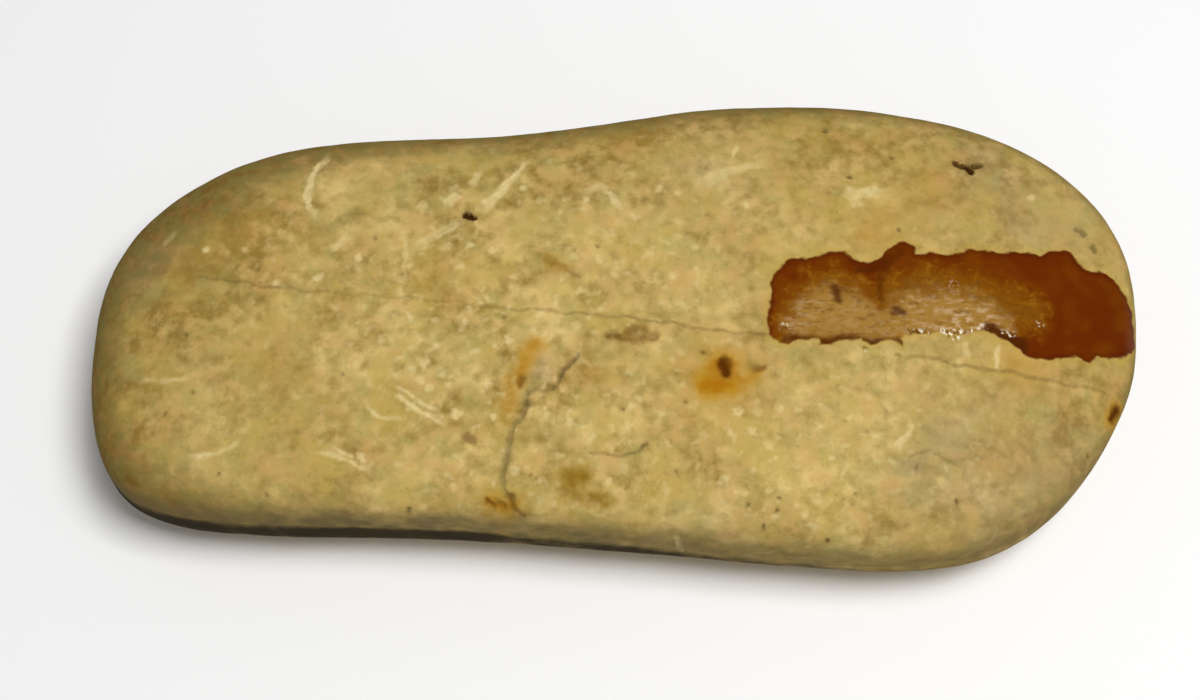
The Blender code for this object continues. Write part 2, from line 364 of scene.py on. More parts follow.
TOP_MARKS: dict[Mark, tuple[Stroke, ...]] = {
    Mark.CRACK: (
        Stroke(
            ((-6.8, -10.4), (-8, -12), (-9.2, -13.4), (-10.2, -15.4), (-11.6, -17.2)),
            0.35, 0.55, 0.9, 0.22,
        ),
        Stroke(((-11.6, -17.2), (-12.8, -17.5), (-14.2, -17.3), (-15.8, -17.8)), 0.5, 0.6, 0.5, 0.12),
        Stroke(((-15.8, -17.8), (-16.2, -19), (-16.3, -20.4), (-17.2, -22.6)), 0.9, 0.9, 0.7, 0.22),
        Stroke(((-17.2, -22.6), (-18.4, -24.4), (-19.2, -26), (-19.2, -28.6)), 0.9, 0.9, 0.62, 0.22),
        Stroke(
            ((-19.2, -28.6), (-19.6, -31), (-20.4, -33.2), (-20, -34.8), (-18.8, -35.8)),
            0.8, 0.7, 0.55, 0.16,
        ),
    ),
    Mark.VEIN: (
        Stroke(((-76, 5.5), (-71.5, 5), (-67, 4), (-61.5, 3), (-54, 2)), 0.35, 0.35, 0.7, 0.03),
        Stroke(((-54, 2), (-44.5, 1), (-33.5, 0), (-19.5, -2)), 0.35, 0.3, 0.42, 0.02),
        Stroke(((-19.5, -2), (-15.5, -2), (-11, -2.5), (0.5, -3.5)), 0.3, 0.35, 0.6, 0.02),
        Stroke(((0.5, -3.5), (11, -5), (15.5, -6), (20, -6.3), (26.5, -7)), 0.35, 0.4, 0.75, 0.04),
        Stroke(((50, -10.3), (58, -11), (61.5, -12), (68.5, -12.5), (73, -13)), 0.4, 0.5, 0.7, 0.04),
        Stroke(((73, -13), (79, -14), (84.5, -14.3), (89, -15)), 0.5, 0.3, 0.6, 0.03),
    ),
    Mark.SCRATCH: (
        Stroke(
            ((-53.6, 31), (-55, 28.5), (-56.6, 25), (-57, 21.5), (-56, 18.8), (-54.6, 16.6)),
            1.1, 1.0, 1, 0.05,
        ),
        Stroke(((-16.4, 29.4), (-19.2, 25), (-21.5, 21.8), (-25, 17.6)), 0.5, 2.2, 1, 0.06),
        Stroke(((-27.5, 15.8), (-33.5, 12.5), (-37, 10)), 1.3, 1.6, 0.68, 0.03),
        Stroke(((-31.5, 19), (-30, 20.5), (-28.6, 21.5)), 2.4, 1.6, 0.74, 0.03),
        Stroke(((-27, 23), (-26, 25), (-25.4, 26.5)), 1.8, 1.2, 0.61, 0.03),
        Stroke(((-36.4, 17.5), (-34.6, 19.5)), 2.2, 1.6, 0.54),
        Stroke(((-2.5, 22.5), (-1, 20.5), (1, 17.5)), 1.2, 1.0, 0.74, 0.03),
        Stroke(((-5.8, 21.5), (-3.5, 22.8), (-1.6, 21.8)), 1.4, 1.2, 0.54, 0.03),
        Stroke(((14.5, 22.5), (16.5, 23.5), (21, 26), (28, 27.5)), 2.2, 1.2, 0.54, 0.03),
        Stroke(((21.5, 28.8), (22, 30), (22.5, 32)), 0.7, 0.5, 0.81, 0.03),
        Stroke(((-40.5, -17.6), (-35, -21), (-30.5, -23.6)), 0.55, 0.7, 1, 0.06),
        Stroke(((-40, -16.2), (-36, -18.4), (-31.5, -21.3)), 0.4, 0.5, 1, 0.04),
        Stroke(((-44.5, -18.6), (-43.5, -21), (-41, -22.4), (-37, -22.4)), 0.5, 0.5, 0.81, 0.03),
        Stroke(((-53.5, -28.4), (-48.5, -29.3), (-46, -30.6), (-43.4, -32.2)), 0.4, 0.55, 0.9, 0.05),
        Stroke(((-50.5, -27.9), (-46.5, -29), (-44.4, -29.8)), 0.3, 0.5, 0.8, 0.04),
        Stroke(((-46.4, -29), (-44.6, -29.4)), 1.1, 0.9, 0.7, 0.03),
        Stroke(((-86.5, -14), (-79, -14), (-76.5, -13.8)), 0.5, 0.6, 0.54, 0.02),
        Stroke(((-76.5, -28.6), (-71, -28), (-66.5, -26.2)), 0.4, 0.8, 0.88, 0.04),
        Stroke(((-52.5, 10), (-50.5, 11.6), (-48.5, 13.4)), 1.4, 1.2, 0.61, 0.02),
        Stroke(((-38.8, 12.4), (-38.3, 8), (-38.5, 3.6)), 0.6, 0.6, 0.54, 0.02),
        Stroke(((-84, 13), (-82.4, 14.8), (-81, 16.4)), 0.9, 0.8, 0.32, 0.02),
        Stroke(((52.6, -22.3), (51, -25.2), (49, -28)), 0.6, 1.4, 0.68, 0.03),
        Stroke(((68.6, -7), (68.3, -12.5)), 0.6, 0.7, 0.74, 0.02),
        Stroke(((62.7, -7), (62.5, -10.5)), 1.2, 1.0, 0.54, 0.02),
        Stroke(((41.5, 22.2), (44, 21.3), (47, 21.8), (49, 21)), 2.6, 2.0, 0.74, 0.02),
        Stroke(((42.6, 19.4), (45.4, 19.6)), 1.6, 1.3, 0.54, 0.02),
        *spots(1.3, 0.81, 0.04, (-75, 11.5), (-54, 5), (-47, 8.5), (-36.8, -13.2), (-35.2, -15.4),
               (-31, -14)),
        *spots(1.3, 0.81, 0.04, (-33.5, -16.5), (-28.5, -21.5), (-45, -30), (21.5, -21), (2.5, -20.5)),
        *spots(1.1, 0.68, 0.03, (-62, 4), (-68, 11), (-30.5, 10.5), (-22.5, 9.5), (-17, 22.5), (-27.5, -4)),
        *spots(1.1, 0.54, 0.03, (-42.5, -8), (-28, -5.5), (-32.5, -4), (-32.5, -9), (-46.5, -12),
               (-0.5, 4.5)),
        *spots(1.2, 0.68, 0.03, (-34.6, -13), (-30.2, -16.2), (-5.5, 20), (7.5, 22), (11, 21.4),
               (23.5, 18.5)),
        *spots(1.1, 0.54, 0.03, (10, 4.5), (-7.5, 8), (14, 10), (32, -21), (33, -39.5),
               (2, -24.5), (77, 22.5)),
        *spots(1.1, 0.54, 0.03, (-38.5, -30.5), (-30, -32.5), (-1.5, -33.5), (-7.5, -5),
               (-29, -34.5), (3.6, -19)),
    ),
    Mark.PIT: (
        Stroke(((-27.6, 16.7), (-26.4, 16.2)), 1.3, 1.1, 1.0, 0.8),
        Stroke(((63.0, 28.9), (64.4, 28.4)), 1.5, 1.3, 0.9, 0.5),
        Stroke(((65.2, 28.0), (65.8, 27.0)), 1.5, 1.6, 1.0, 0.7),
        Stroke(((66.6, 28.0), (67.6, 28.5)), 1.3, 1.1, 0.8, 0.5),
    ),
    Mark.IRON: (
        Stroke(((19.1, -12.1), (19.3, -14.2)), 2.3, 2.2, 0.95, 0.4),
        Stroke(((15.6, -10.6), (16.4, -10.8)), 1.0, 0.8, 0.3, 0.05),
        Stroke(((-17, -15.9), (-16.9, -15.1)), 1.4, 1.2, 0.7, 0.1),
        Stroke(((-23, -36.8), (-21.8, -37.2)), 1.0, 0.8, 0.7, 0.25),
        Stroke(((-20.8, -36.8), (-19.6, -37.2)), 0.9, 0.9, 0.6, 0.2),
        Stroke(((-18.9, -35.8), (-18.4, -37), (-17.6, -38.2), (-16.6, -38.8)), 1.4, 0.8, 0.6, 0.25),
        Stroke(((-26.6, -25.9), (-25.6, -26.5)), 2.0, 1.6, 0.5, 0.2),
        Stroke(((90.9, -17.2), (90.4, -18.6)), 2.0, 1.8, 0.95, 0.1),
        Stroke(((24.4, -13.4), (26, -12.8)), 1.1, 0.7, 0.75, 0.15),
        Stroke(((-1.6, -7.2), (0.2, -7.3)), 1.1, 1.0, 0.55, 0.1),
        Stroke(((4.2, -28), (5.2, -27.2)), 0.8, 0.9, 0.5, 0.1),
    ),
    Mark.SPECK: (
        *spots(0.75, 0.85, 0.25, (39, 35.5), (43, 25), (37, -43), (-37, -37.5), (60, -36.5)),
        *spots(0.65, 0.7, 0.2, (51, 29.5), (51.5, 14), (23, -37.5), (28.5, -36.5), (27.8, -38.4), (26, -41)),
        *spots(0.6, 0.5, 0.2, (85, -26), (53, -31), (-62, -35.5), (-70.5, -32), (-78, -5.5), (-76, -16.5)),
        *spots(0.6, 0.5, 0.2, (-81, -20.5), (-44, 12.5), (-20.5, -3.5), (-49, -14), (-3.5, 10.5), (-8, 9.5)),
        *spots(0.6, 0.6, 0.2, (10, -32), (1, -21), (12, -19.5), (-15, -32.5), (42, -36), (15.5, -10.5)),
        Stroke(((85.3, 16.4), (86.6, 15.6)), 0.9, 1.1, 0.7, 0.15),
        Stroke(((88.2, 13.6), (88.8, 12.8)), 1.0, 0.8, 0.7, 0.15),
        Stroke(((-5, -28.6), (-1, -29.2), (2.6, -28.8), (5, -27.5)), 0.35, 0.5, 0.5, 0.04),
        Stroke(((52, -29), (54.5, -28), (57.5, -28.8), (60, -30)), 0.5, 0.4, 0.35, 0.03),
    ),
    Mark.CHIP: (
        Stroke(((0.4, -7.8), (3, -7.6), (6.2, -7.4)), 1.2, 1.9, 0.95, 0.15),
        Stroke(((2.2, -6.8), (3.6, -5.8), (5, -6.6)), 1.8, 1.8, 0.95, 0.15),
        Stroke(((-12.6, 7.8), (-10.5, 6.3), (-7.4, 4.6)), 1.7, 1.2, 0.6, 0.05),
    ),
    Mark.RUST: (
        Stroke(((-14.6, -8.8), (-16, -10.8), (-17, -12.8), (-17.3, -15.4)), 2.2, 1.8, 0.85),
        Stroke(((-18.4, -14.4), (-19, -18), (-19.6, -21.8)), 2.0, 1.8, 0.55),
        Stroke(((16.4, -16.2), (19.4, -16.4)), 4.8, 4.4, 1.0),
        Stroke(((18.8, -14),), 7.4, strength=0.75),
        Stroke(((21, -16.4), (23.4, -15.4), (25.4, -13.6)), 2.6, 1.2, 0.75),
        Stroke(((-22.5, -36.8), (-20, -37.2), (-17.8, -37)), 1.9, 1.4, 0.8),
        Stroke(((-12.2, 7.6), (-9, 5.4)), 1.6, 1.2, 0.45),
        Stroke(((90.9, -17.2), (90.3, -19)), 2.4, 2.2, 0.9),
    ),
    Mark.OCHRE: (
        Stroke(((-8.4, -33.2), (-6.2, -33)), 4.2, 3.8, 0.9),
        Stroke(((-9.2, -34.8), (-8, -36), (-6, -36.4)), 2.4, 2.2, 0.75),
        Stroke(((-4.6, -35.8), (-2.2, -36.4)), 2.8, 2.6, 0.85),
        Stroke(((-5.4, -34.2), (-3.4, -34.8)), 1.8, 1.4, 0.5),
    ),
    Mark.OLIVE: (
        Stroke(((-52.5, 15), (-49, 17), (-45.5, 18)), 1.2, 1.6, 0.7),
        Stroke(((-60.5, -16), (-59, -18.5), (-56.5, -20.5)), 1.2, 1.2, 0.5),
        Stroke(((-50, -33.5), (-47.5, -36)), 1.4, 1.2, 0.55),
        Stroke(((56, -27.5), (58, -28.5), (59.5, -29.5)), 1.0, 1.0, 0.4),
        Stroke(((-16, -18.6), (-15.9, -20.6)), 2.2, 2.0, 0.85),
        Stroke(((-19.0, -25), (-19.1, -29), (-20, -33)), 1.6, 1.4, 0.4),
    ),
    # Painted glints on the varnish: white specks with dark ones among them.
    Mark.GLINT: (
        Stroke(((44.2, -9.1), (44.4, -9.2)), 1.0),
        Stroke(((30, -5.6), (31.6, -5.2)), 0.8, 0.6, 0.7),
        Stroke(((52, -5.6), (56, -5.8)), 0.7, 0.8, 0.6),
        Stroke(((58.8, -5.6), (61, -5.9), (63.5, -5.2), (66.5, -4.6)), 1.2, 1.0),
        Stroke(((64.5, -3.6), (66.4, -4.2)), 1.0, 0.8, 0.8),
        Stroke(((60.8, 3.6), (62.2, 3.2)), 0.9, 0.7, 0.6),
        Stroke(((70, -5.4), (71.4, -5.6)), 0.9, 0.7, 0.7),
        Stroke(((76.8, -3.2), (77, -4.2)), 0.7, 0.7, 0.6),
    ),
    Mark.DRIP: (
        Stroke(((39.5, 1.9), (39.8, 0.3)), 1.2, 1.3, 0.85),
        Stroke(((49.9, -2.0), (51.4, -2.5)), 1.1, 1.2, 0.85),
        Stroke(((43.8, 6.0), (46, 5.9), (48.2, 6.9), (51.6, 9.6)), 1.3, 1.3, 0.65),
        Stroke(((48.4, 6.4), (47.6, 3), (47.2, 0.4)), 1.3, 0.5, 0.6),
        Stroke(((30, -7.6), (36, -7.9), (44, -7.8), (51.8, -8.4)), 1.0, 1.3, 0.8),
        Stroke(((53, -6.2), (58, -6.4), (63, -6)), 0.5, 0.5, 0.45),
        Stroke(((67, -4.9), (69.4, -5.9), (73, -7.6)), 1.9, 2.6, 0.95),
    ),
}

# Soft spots of colour: X, Y, reach in millimetres, and strength.
TOP_TINTS: dict[Tint, tuple[tuple[float, float, float, float], ...]] = {
    Tint.GREY: (
        (-86.5, 11.5, 4, 0.6), (53.5, -29.5, 6, 0.35), (-14, -13.2, 2.4, 0.4), (84, 17, 6, 0.3),
        (69, 26, 6, 0.4), (64, -26, 9, 0.30), (72, -43, 9, 0.45), (85, -34, 9, 0.4), (17, 26, 6, 0.3),
    ),
    Tint.ORANGE: (
        (-66.5, 15.5, 3, 0.5), (-57, 11, 2.6, 0.5), (-33.5, 4, 3, 0.45), (-28, 2, 2.4, 0.45),
        (-60, -11, 4, 0.45), (51, 18.5, 3, 0.45), (46.5, 13, 3.5, 0.5), (56.5, 22.5, 3.5, 0.4),
        (75, -14.5, 2.6, 0.45), (-4.5, -13.5, 2.2, 0.6), (5, 35, 5, 0.35), (52, 12.5, 2.5, 0.4),
        (18, -15, 5.5, 0.6), (70, -26, 5, 0.2), (-78, 10, 3, 0.5), (60, 24, 5, 0.3), (44, 30, 6, 0.2),
        (71.5, -11, 3, 1.0), (46, 13.5, 2.4, 0.5), (17, -19, 5, 0.4),
    ),
    Tint.GREEN: (
        (-79, 14, 2.4, 0.5), (-10, -26, 2.2, 0.6), (-45, 22, 6, 0.3), (-13, 14.5, 4, 0.35),
        (-30, -12, 6, 0.2), (-70, -33, 6, 0.35), (38, -10, 5, 0.2),
    ),
    Tint.PALE: (
        (61, -8.5, 6, 0.5), (-34, -16, 5, 0.35), (45, 20.5, 4, 0.45), (-24, 20, 6, 0.3), (42, -18, 13, 0.45),
        # The spot at (-70, -35) is a painted highlight along the near rim.
        (-12, -13.4, 2.6, 0.5), (20, -22, 7, 0.3), (-3, 5, 9, 0.9), (-11, 14, 6, 0.5), (-70, -35, 9, 1.2),
        (30, -28, 7, 1.3), (-62, 26, 7, 0.4), (-50, -4, 7, 0.4), (-48, -18, 6, 0.5), (-30, -14, 7, 0.4),
        (-44, -37, 8, 0.5), (3, 17, 6, 0.9), (10, 3, 8, 1.2), (17, 8, 6, 0.5), (-12, -27, 8, 0.4),
        (17, -36, 7, 0.6),
    ),
    Tint.BROWN: (
        (-80, 20, 9, 1.1), (-88, 4, 6, 0.55), (-78, 6, 6, 0.55), (-80, -1, 8, 1.1), (-88, -24, 7, 0.9),
        (-24, 36, 8, 0.45), (4, 40, 9, 0.50), (28, 42, 9, 0.35), (-60, -17, 7, 0.30), (-51, -27, 6, 0.7),
        (60, 38, 8, 0.25), (-84, 14, 6, 0.4), (-30, 24, 7, 0.7), (-66, 18, 6, 0.7), (-10, 26, 6, 0.4),
        (71, 25, 7, 1.1), (73, -42, 9, 1.2), (-75, 9.5, 7, 1.0), (60, -28, 5, 0.4), (86, -32, 9, 0.9),
        (85, 17, 7, 0.8), (-11, -19, 5, 0.35), (17, -19, 5, 0.25), (12, 33, 9, 0.35), (40, 33, 9, 0.45),
        (-8, 32, 8, 0.35),
        (58, 28, 8, 0.35), (-66, -44, 6, 0.7), (-50, -44, 5, 0.4), (84, -18, 5, 0.5),
    ),
    Tint.FLECKED: (
        (-30, -12, 14, 0.8), (-12, -28, 12, 0.7), (-24, 14, 14, 0.6), (6, 8, 14, 0.5), (20, -24, 12, 0.6),
        (46, -24, 12, 0.35), (66, -30, 13, 0.35), (52, 22, 12, 0.3), (30, -38, 9, 0.5), (-60, 4, 12, 0.35),
        (-74, -30, 10, 0.3),
    ),
    # Painted sheen on the varnish, brightest near the heart's lower edge.
    Tint.SHEEN: (
        (62, -4.2, 3.6, 1.0), (66.5, -3, 2.6, 0.8), (57, -3.5, 4, 0.35), (60.5, 2, 4, 0.2),
        (52, -1, 2.6, 0.45),
        (31, -4, 1.8, 0.7), (34, -2, 2.4, 0.3), (44, -4.5, 4, 0.2), (70.5, -5, 1.4, 0.6),
        (76.5, -3.5, 1.2, 0.5),
    ),
}


def hold_in(values: np.ndarray, low: float, high: float) -> np.ndarray:
    """Return the values, none past the two limits."""
    return np.minimum(np.maximum(values, low), high)


def ease(values: np.ndarray) -> np.ndarray:
    """Return a smooth rise from 0 to 1 for values from 0 to 1."""
    held = hold_in(values, 0.0, 1.0)
    return held * held * (3 - 2 * held)


# The waves that shift drawn lines along X and along Y: height in millimetres, rates along X and Y, phase.
WAVES_ALONG_X = ((0.20, 0.61, 0.83, 0.4), (0.12, -1.13, 1.9, 2.1), (0.05, 4.3, 2.9, 5.0))
WAVES_ALONG_Y = ((0.20, 0.77, -0.39, 1.7), (0.12, 1.61, 1.27, 0.9), (0.05, -3.1, 3.7, 3.6))


def wandered(plan: np.ndarray) -> np.ndarray:
    """Shift places in plan by small waves, so that drawn lines come out uneven."""
    x, y = plan.T
    shifts = [
        sum(height * np.sin(rate_x * x + rate_y * y + phase) for height, rate_x, rate_y, phase in waves)
        for waves in (WAVES_ALONG_X, WAVES_ALONG_Y)
    ]
    return np.column_stack((x + shifts[0], y + shifts[1]))


def ring_inside(ring: tuple[Place, ...], plan: np.ndarray, smooth: bool = False) -> np.ndarray:
    """Measure how far places lie inside a closed outline.

    Args:
        ring: The outline's corners.
        plan: X and Y of each place.
        smooth: Whether the outline curves through its corners.

    Returns:
        The distance to the outline, above 0 inside it and below 0 outside.
    """
    corners = np.array(ring, float)
    if smooth:
        before, after, beyond = (np.roll(corners, shift, axis=0) for shift in (1, -1, -2))
        middles = (9 * (corners + after) - before - beyond) / 16
        corners = np.stack((corners, middles), axis=1).reshape(-1, 2)
    nearest = np.full(len(plan), np.inf)
    within = np.zeros(len(plan), bool)
    for start, finish in zip(corners, np.roll(corners, -1, axis=0)):
        run = finish - start
        offset = plan - start
        along = np.clip(offset @ run / (run @ run), 0.0, 1.0)
        nearest = np.minimum(nearest, np.hypot(*(offset - along[:, None] * run).T))
        spans = (start[1] > plan[:, 1]) != (finish[1] > plan[:, 1])
        rise = run[1] if run[1] else 1.0
        within ^= spans & (plan[:, 0] < start[0] + run[0] * offset[:, 1] / rise)
    return np.where(within, nearest, -nearest)


@dataclass(frozen=True)
class VarnishStrip:
    """A strip of brown varnish, brushed on the top near the wide end. Places are in plan, in mm."""

    # Every place of the strip is past this X and within this Y either way.
    starts_after: float = 25.0
    lies_within: float = 14.0
    # The distances that are stored stop at this one, either way.
    greatest_distance: float = 4.0
    edge: tuple[Place, ...] = (
        (27, -6), (27.5, 0), (28.5, 5), (31, 7.5), (34.5, 8), (37, 9), (40.5, 9.5), (43, 8), (45.5, 7.5),
        (47.5, 8), (49.5, 10), (51.5, 11.5), (54, 11.3), (54.3, 9.5), (57, 9.5), (61.5, 9.5), (64, 10.6),
        (68, 10.3), (73.5, 10.6), (77.5, 10.4), (80, 11.5), (83, 11.5), (84.5, 10), (86.5, 8.5), (90.5, 8),
        (93, 6.5), (94.6, 3.5), (95.7, 0.5), (95.8, -4), (93.8, -6.8), (89.5, -8.5), (87.5, -8.3), (86, -9.5),
        (83, -8.8), (80, -9.8), (77, -9.6), (74.5, -9.7), (73, -9), (71, -7), (69, -6.3), (66.5, -5.2),
        (60.5, -6), (52, -6.2), (51, -8.5), (49, -7.5), (45.5, -8.5), (44, -7.5), (39, -8.3), (36.5, -8.5),
        (36, -7.5), (32.5, -8), (30.5, -8.7), (28, -7.7),
    )
    amber: tuple[Place, ...] = (
        (29.4, -7.4), (29.8, -2), (31.4, 0), (33.4, 2.6), (35.6, 4.4), (38.5, 5), (42, 4.2), (45.2, 3),
        (47.2, 1), (49, 4), (52.5, 5.2), (56, 5.8), (60, 5.6), (64.5, 4.8), (69.5, 3.8), (73, 2.6),
        (77, 1), (77.5, -2), (76, -4), (73, -4.6), (70.5, -4.4), (66, -8), (56, -8), (45, -8.4), (35, -8.2),
    )
    heart: tuple[Place, ...] = (
        (30.6, -7.2), (31, -3), (32.8, -0.8), (35, 1.4), (38.5, 2.4), (42.5, 1.8), (45.4, 0.2), (47.6, -1.2),
        (50.4, 0.4), (54, 2), (59.5, 2.4), (64.5, 2), (68, 0.4), (70.6, -1.6), (71.6, -3.8), (70.4, -4.7),
        (68.5, -5), (65, -8), (56, -8), (45, -7.6), (35, -7.4),
    )

    def inside(self, ring: tuple[Place, ...], plan: np.ndarray) -> np.ndarray:
        """Return how far inside one of the strip's rings places are, in millimetres."""
        return ring_inside(ring, plan, smooth=True)

    def close_to(self, plan: np.ndarray) -> np.ndarray:
        """Return which places may be on the strip or close to it."""
        return (plan[:, 0] > self.starts_after) & (np.abs(plan[:, 1]) < self.lies_within)


@dataclass(frozen=True)
class StoneForm:
    """The stone's form, from the solid's own sizes, in millimetres."""

    half_length: float = 97.25
    half_width: float = 45.05
    widest_level: float = 18.5
    rise_to_top: float = 19.0
    drop_to_underside: float = 19.1
    samples_per_span: int = 120
    rim_step: int = 10
    # X and Y of the outline's guide places, and how full the sides are above and below the widest level.
    outline: tuple[tuple[float, float, float, float], ...] = (
        (98.0, -1.5, 3.0, 2.8),
        (98.0, 22.0, 3.0, 2.8),
        (71.5, 43.5, 2.9, 2.6),
        (21.0, 47.5, 2.9, 2.6),
        (-22.5, 37.0, 3.0, 2.6),
        (-66.5, 39.0, 3.1, 2.7),
        (-93.5, 20.0, 3.1, 2.8),
        (-98.5, -1.0, 3.3, 2.8),
        (-96.0, -32.5, 3.8, 2.9),
        (-77.5, -39.5, 4.6, 2.9),
        (-21.5, -39.0, 4.6, 2.8),
        (21.0, -43.5, 4.0, 2.7),
        (71.0, -49.0, 3.2, 2.6),
        (95.5, -18.0, 2.9, 2.7),
    )
    # Lumps and hollows: X, Y, Z and reach, and the height, which is below 0 for a hollow.
    broad_forms: tuple[tuple[float, float, float, float, float], ...] = (
        (-58.0, -8.0, 37.0, 20.0, -0.55),
        (-18.0, 30.0, 35.0, 17.0, -0.70),
        (-14.0, -27.0, 36.0, 11.0, -0.40),
        (-84.0, -33.0, 30.0, 13.0, -0.80),
        (84.0, -28.0, 30.0, 18.0, -0.80),
        (46.0, 34.0, 33.0, 16.0, -0.45),
        (92.0, 14.0, 26.0, 13.0, -0.60),
        (14.0, -4.0, 37.0, 26.0, 0.30),
        (-40.0, -40.0, 14.0, 22.0, -0.80),
        (34.0, -44.0, 12.0, 20.0, -0.70),
        (76.0, -40.0, 16.0, 14.0, 0.60),
        (10.0, 44.0, 12.0, 20.0, -0.70),
        (-66.0, 38.0, 12.0, 16.0, -0.50),
        (60.0, 12.0, 2.0, 24.0, -0.80),
        (-62.0, 10.0, 2.0, 22.0, -0.80),
    )

    def outline_table(self) -> tuple[np.ndarray, ...]:
        """Return turn angles, reaches, upper and lower fullness round the outline, in turn order."""
        points = np.array(self.outline)
        along = (np.arange(self.samples_per_span) / self.samples_per_span)[:, None]
        weights = (
            (1 - along) ** 3,
            3 * along**3 - 6 * along**2 + 4,
            -3 * along**3 + 3 * along**2 + 3 * along + 1,
            along**3,
        )
        rows = []
        for span in range(len(points)):
            guides = [points[(span + step) % len(points)] for step in (-1, 0, 1, 2)]
            rows.append(sum(weight * guide for weight, guide in zip(weights, guides)) / 6)
        x, y, upper, lower = np.concatenate(rows).T
        turn = np.arctan2(y / self.half_width, x / self.half_length) % math.tau
        reach = np.hypot(x / self.half_length, y / self.half_width)
        order = np.argsort(turn)
        return turn[order], reach[order], upper[order], lower[order]

    def rim(self) -> tuple[Place, ...]:
        """Return the outline's places in plan, a few millimetres apart."""
        turn, reach, _, _ = (column[::self.rim_step] for column in self.outline_table())
        return tuple(zip(self.half_length * reach * np.cos(turn), self.half_width * reach * np.sin(turn)))

    def turn(self, places: np.ndarray) -> np.ndarray:
        """Return each place's turn round the stone, in degrees anticlockwise from the wide end."""
        return np.degrees(np.arctan2(places[:, 1] / self.half_width, places[:, 0] / self.half_length)) % 360

    def push_out(self, box: np.ndarray) -> np.ndarray:
        """Push points of the unit box out to the stone's plain form.

        Args:
            box: Points on the unit box.

        Returns:
            Points on the stone, without its broad forms.
        """
        table = self.outline_table()
        turn = np.arctan2(box[:, 1], box[:, 0]) % math.tau
        reach, upper, lower = (np.interp(turn, table[0], column, period=math.tau) for column in table[1:])
        out = np.hypot(box[:, 0], box[:, 1])
        rising = box[:, 2] > 0
        fullness = np.where(rising, upper, lower)
        height = np.where(rising, self.rise_to_top, self.drop_to_underside)
        scale = (out**fullness + np.abs(box[:, 2]) ** fullness) ** (-1 / fullness)
        return np.column_stack((
            self.half_length * reach * box[:, 0] * scale,
            self.half_width * reach * box[:, 1] * scale,
            self.widest_level + height * box[:, 2] * scale,
        ))

    def with_broad_forms(self, places: np.ndarray, normals: np.ndarray) -> np.ndarray:
        """Move places along their normals by the lumps and hollows.

        Args:
            places: Places on the plain form, in millimetres.
            normals: The surface's directions there.

        Returns:
            Places on the stone, none of them below the ground.
        """
        total = np.zeros(len(places))
        for x, y, z, reach, height in self.broad_forms:
            away = ((places - (x, y, z)) ** 2).sum(1)
            total += height * np.exp(-away / (2 * reach**2))
        moved = places + normals * total[:, None]
        moved[:, 2] = np.maximum(moved[:, 2], 0.0)
        return moved

    def solid_places(self, box: np.ndarray) -> np.ndarray:
        """Return places on the stone, near enough for marks, for points of the unit box."""
        places = self.push_out(box)
        outward = places - (0.0, 0.0, self.widest_level)
        outward /= np.linalg.norm(outward, axis=1)[:, None]
        return self.with_broad_forms(places, outward)


def vertex_places(mesh: bpy.types.Mesh) -> np.ndarray:
    """Return a mesh's vertex places as an array of rows."""
    flat = np.zeros(len(mesh.vertices) * 3)
    mesh.vertices.foreach_get("co", flat)
    return flat.reshape(-1, 3)


def vertex_normals(mesh: bpy.types.Mesh) -> np.ndarray:
    """Return a mesh's vertex normals as an array of rows."""
    flat = np.zeros(len(mesh.vertices) * 3)
    mesh.vertex_normals.foreach_get("vector", flat)
    return flat.reshape(-1, 3)


def set_places(mesh: bpy.types.Mesh, places: np.ndarray) -> None:
    """Move a mesh's vertices to new places."""
    mesh.vertices.foreach_set("co", places.astype(np.float32).ravel())
    mesh.update()


def store(mesh: bpy.types.Mesh, name: str, values: np.ndarray) -> None:
    """Store one number for each vertex under a name."""
    attribute = mesh.attributes.new(name, "FLOAT", "POINT")
    attribute.data.foreach_set("value", values.astype(np.float32))


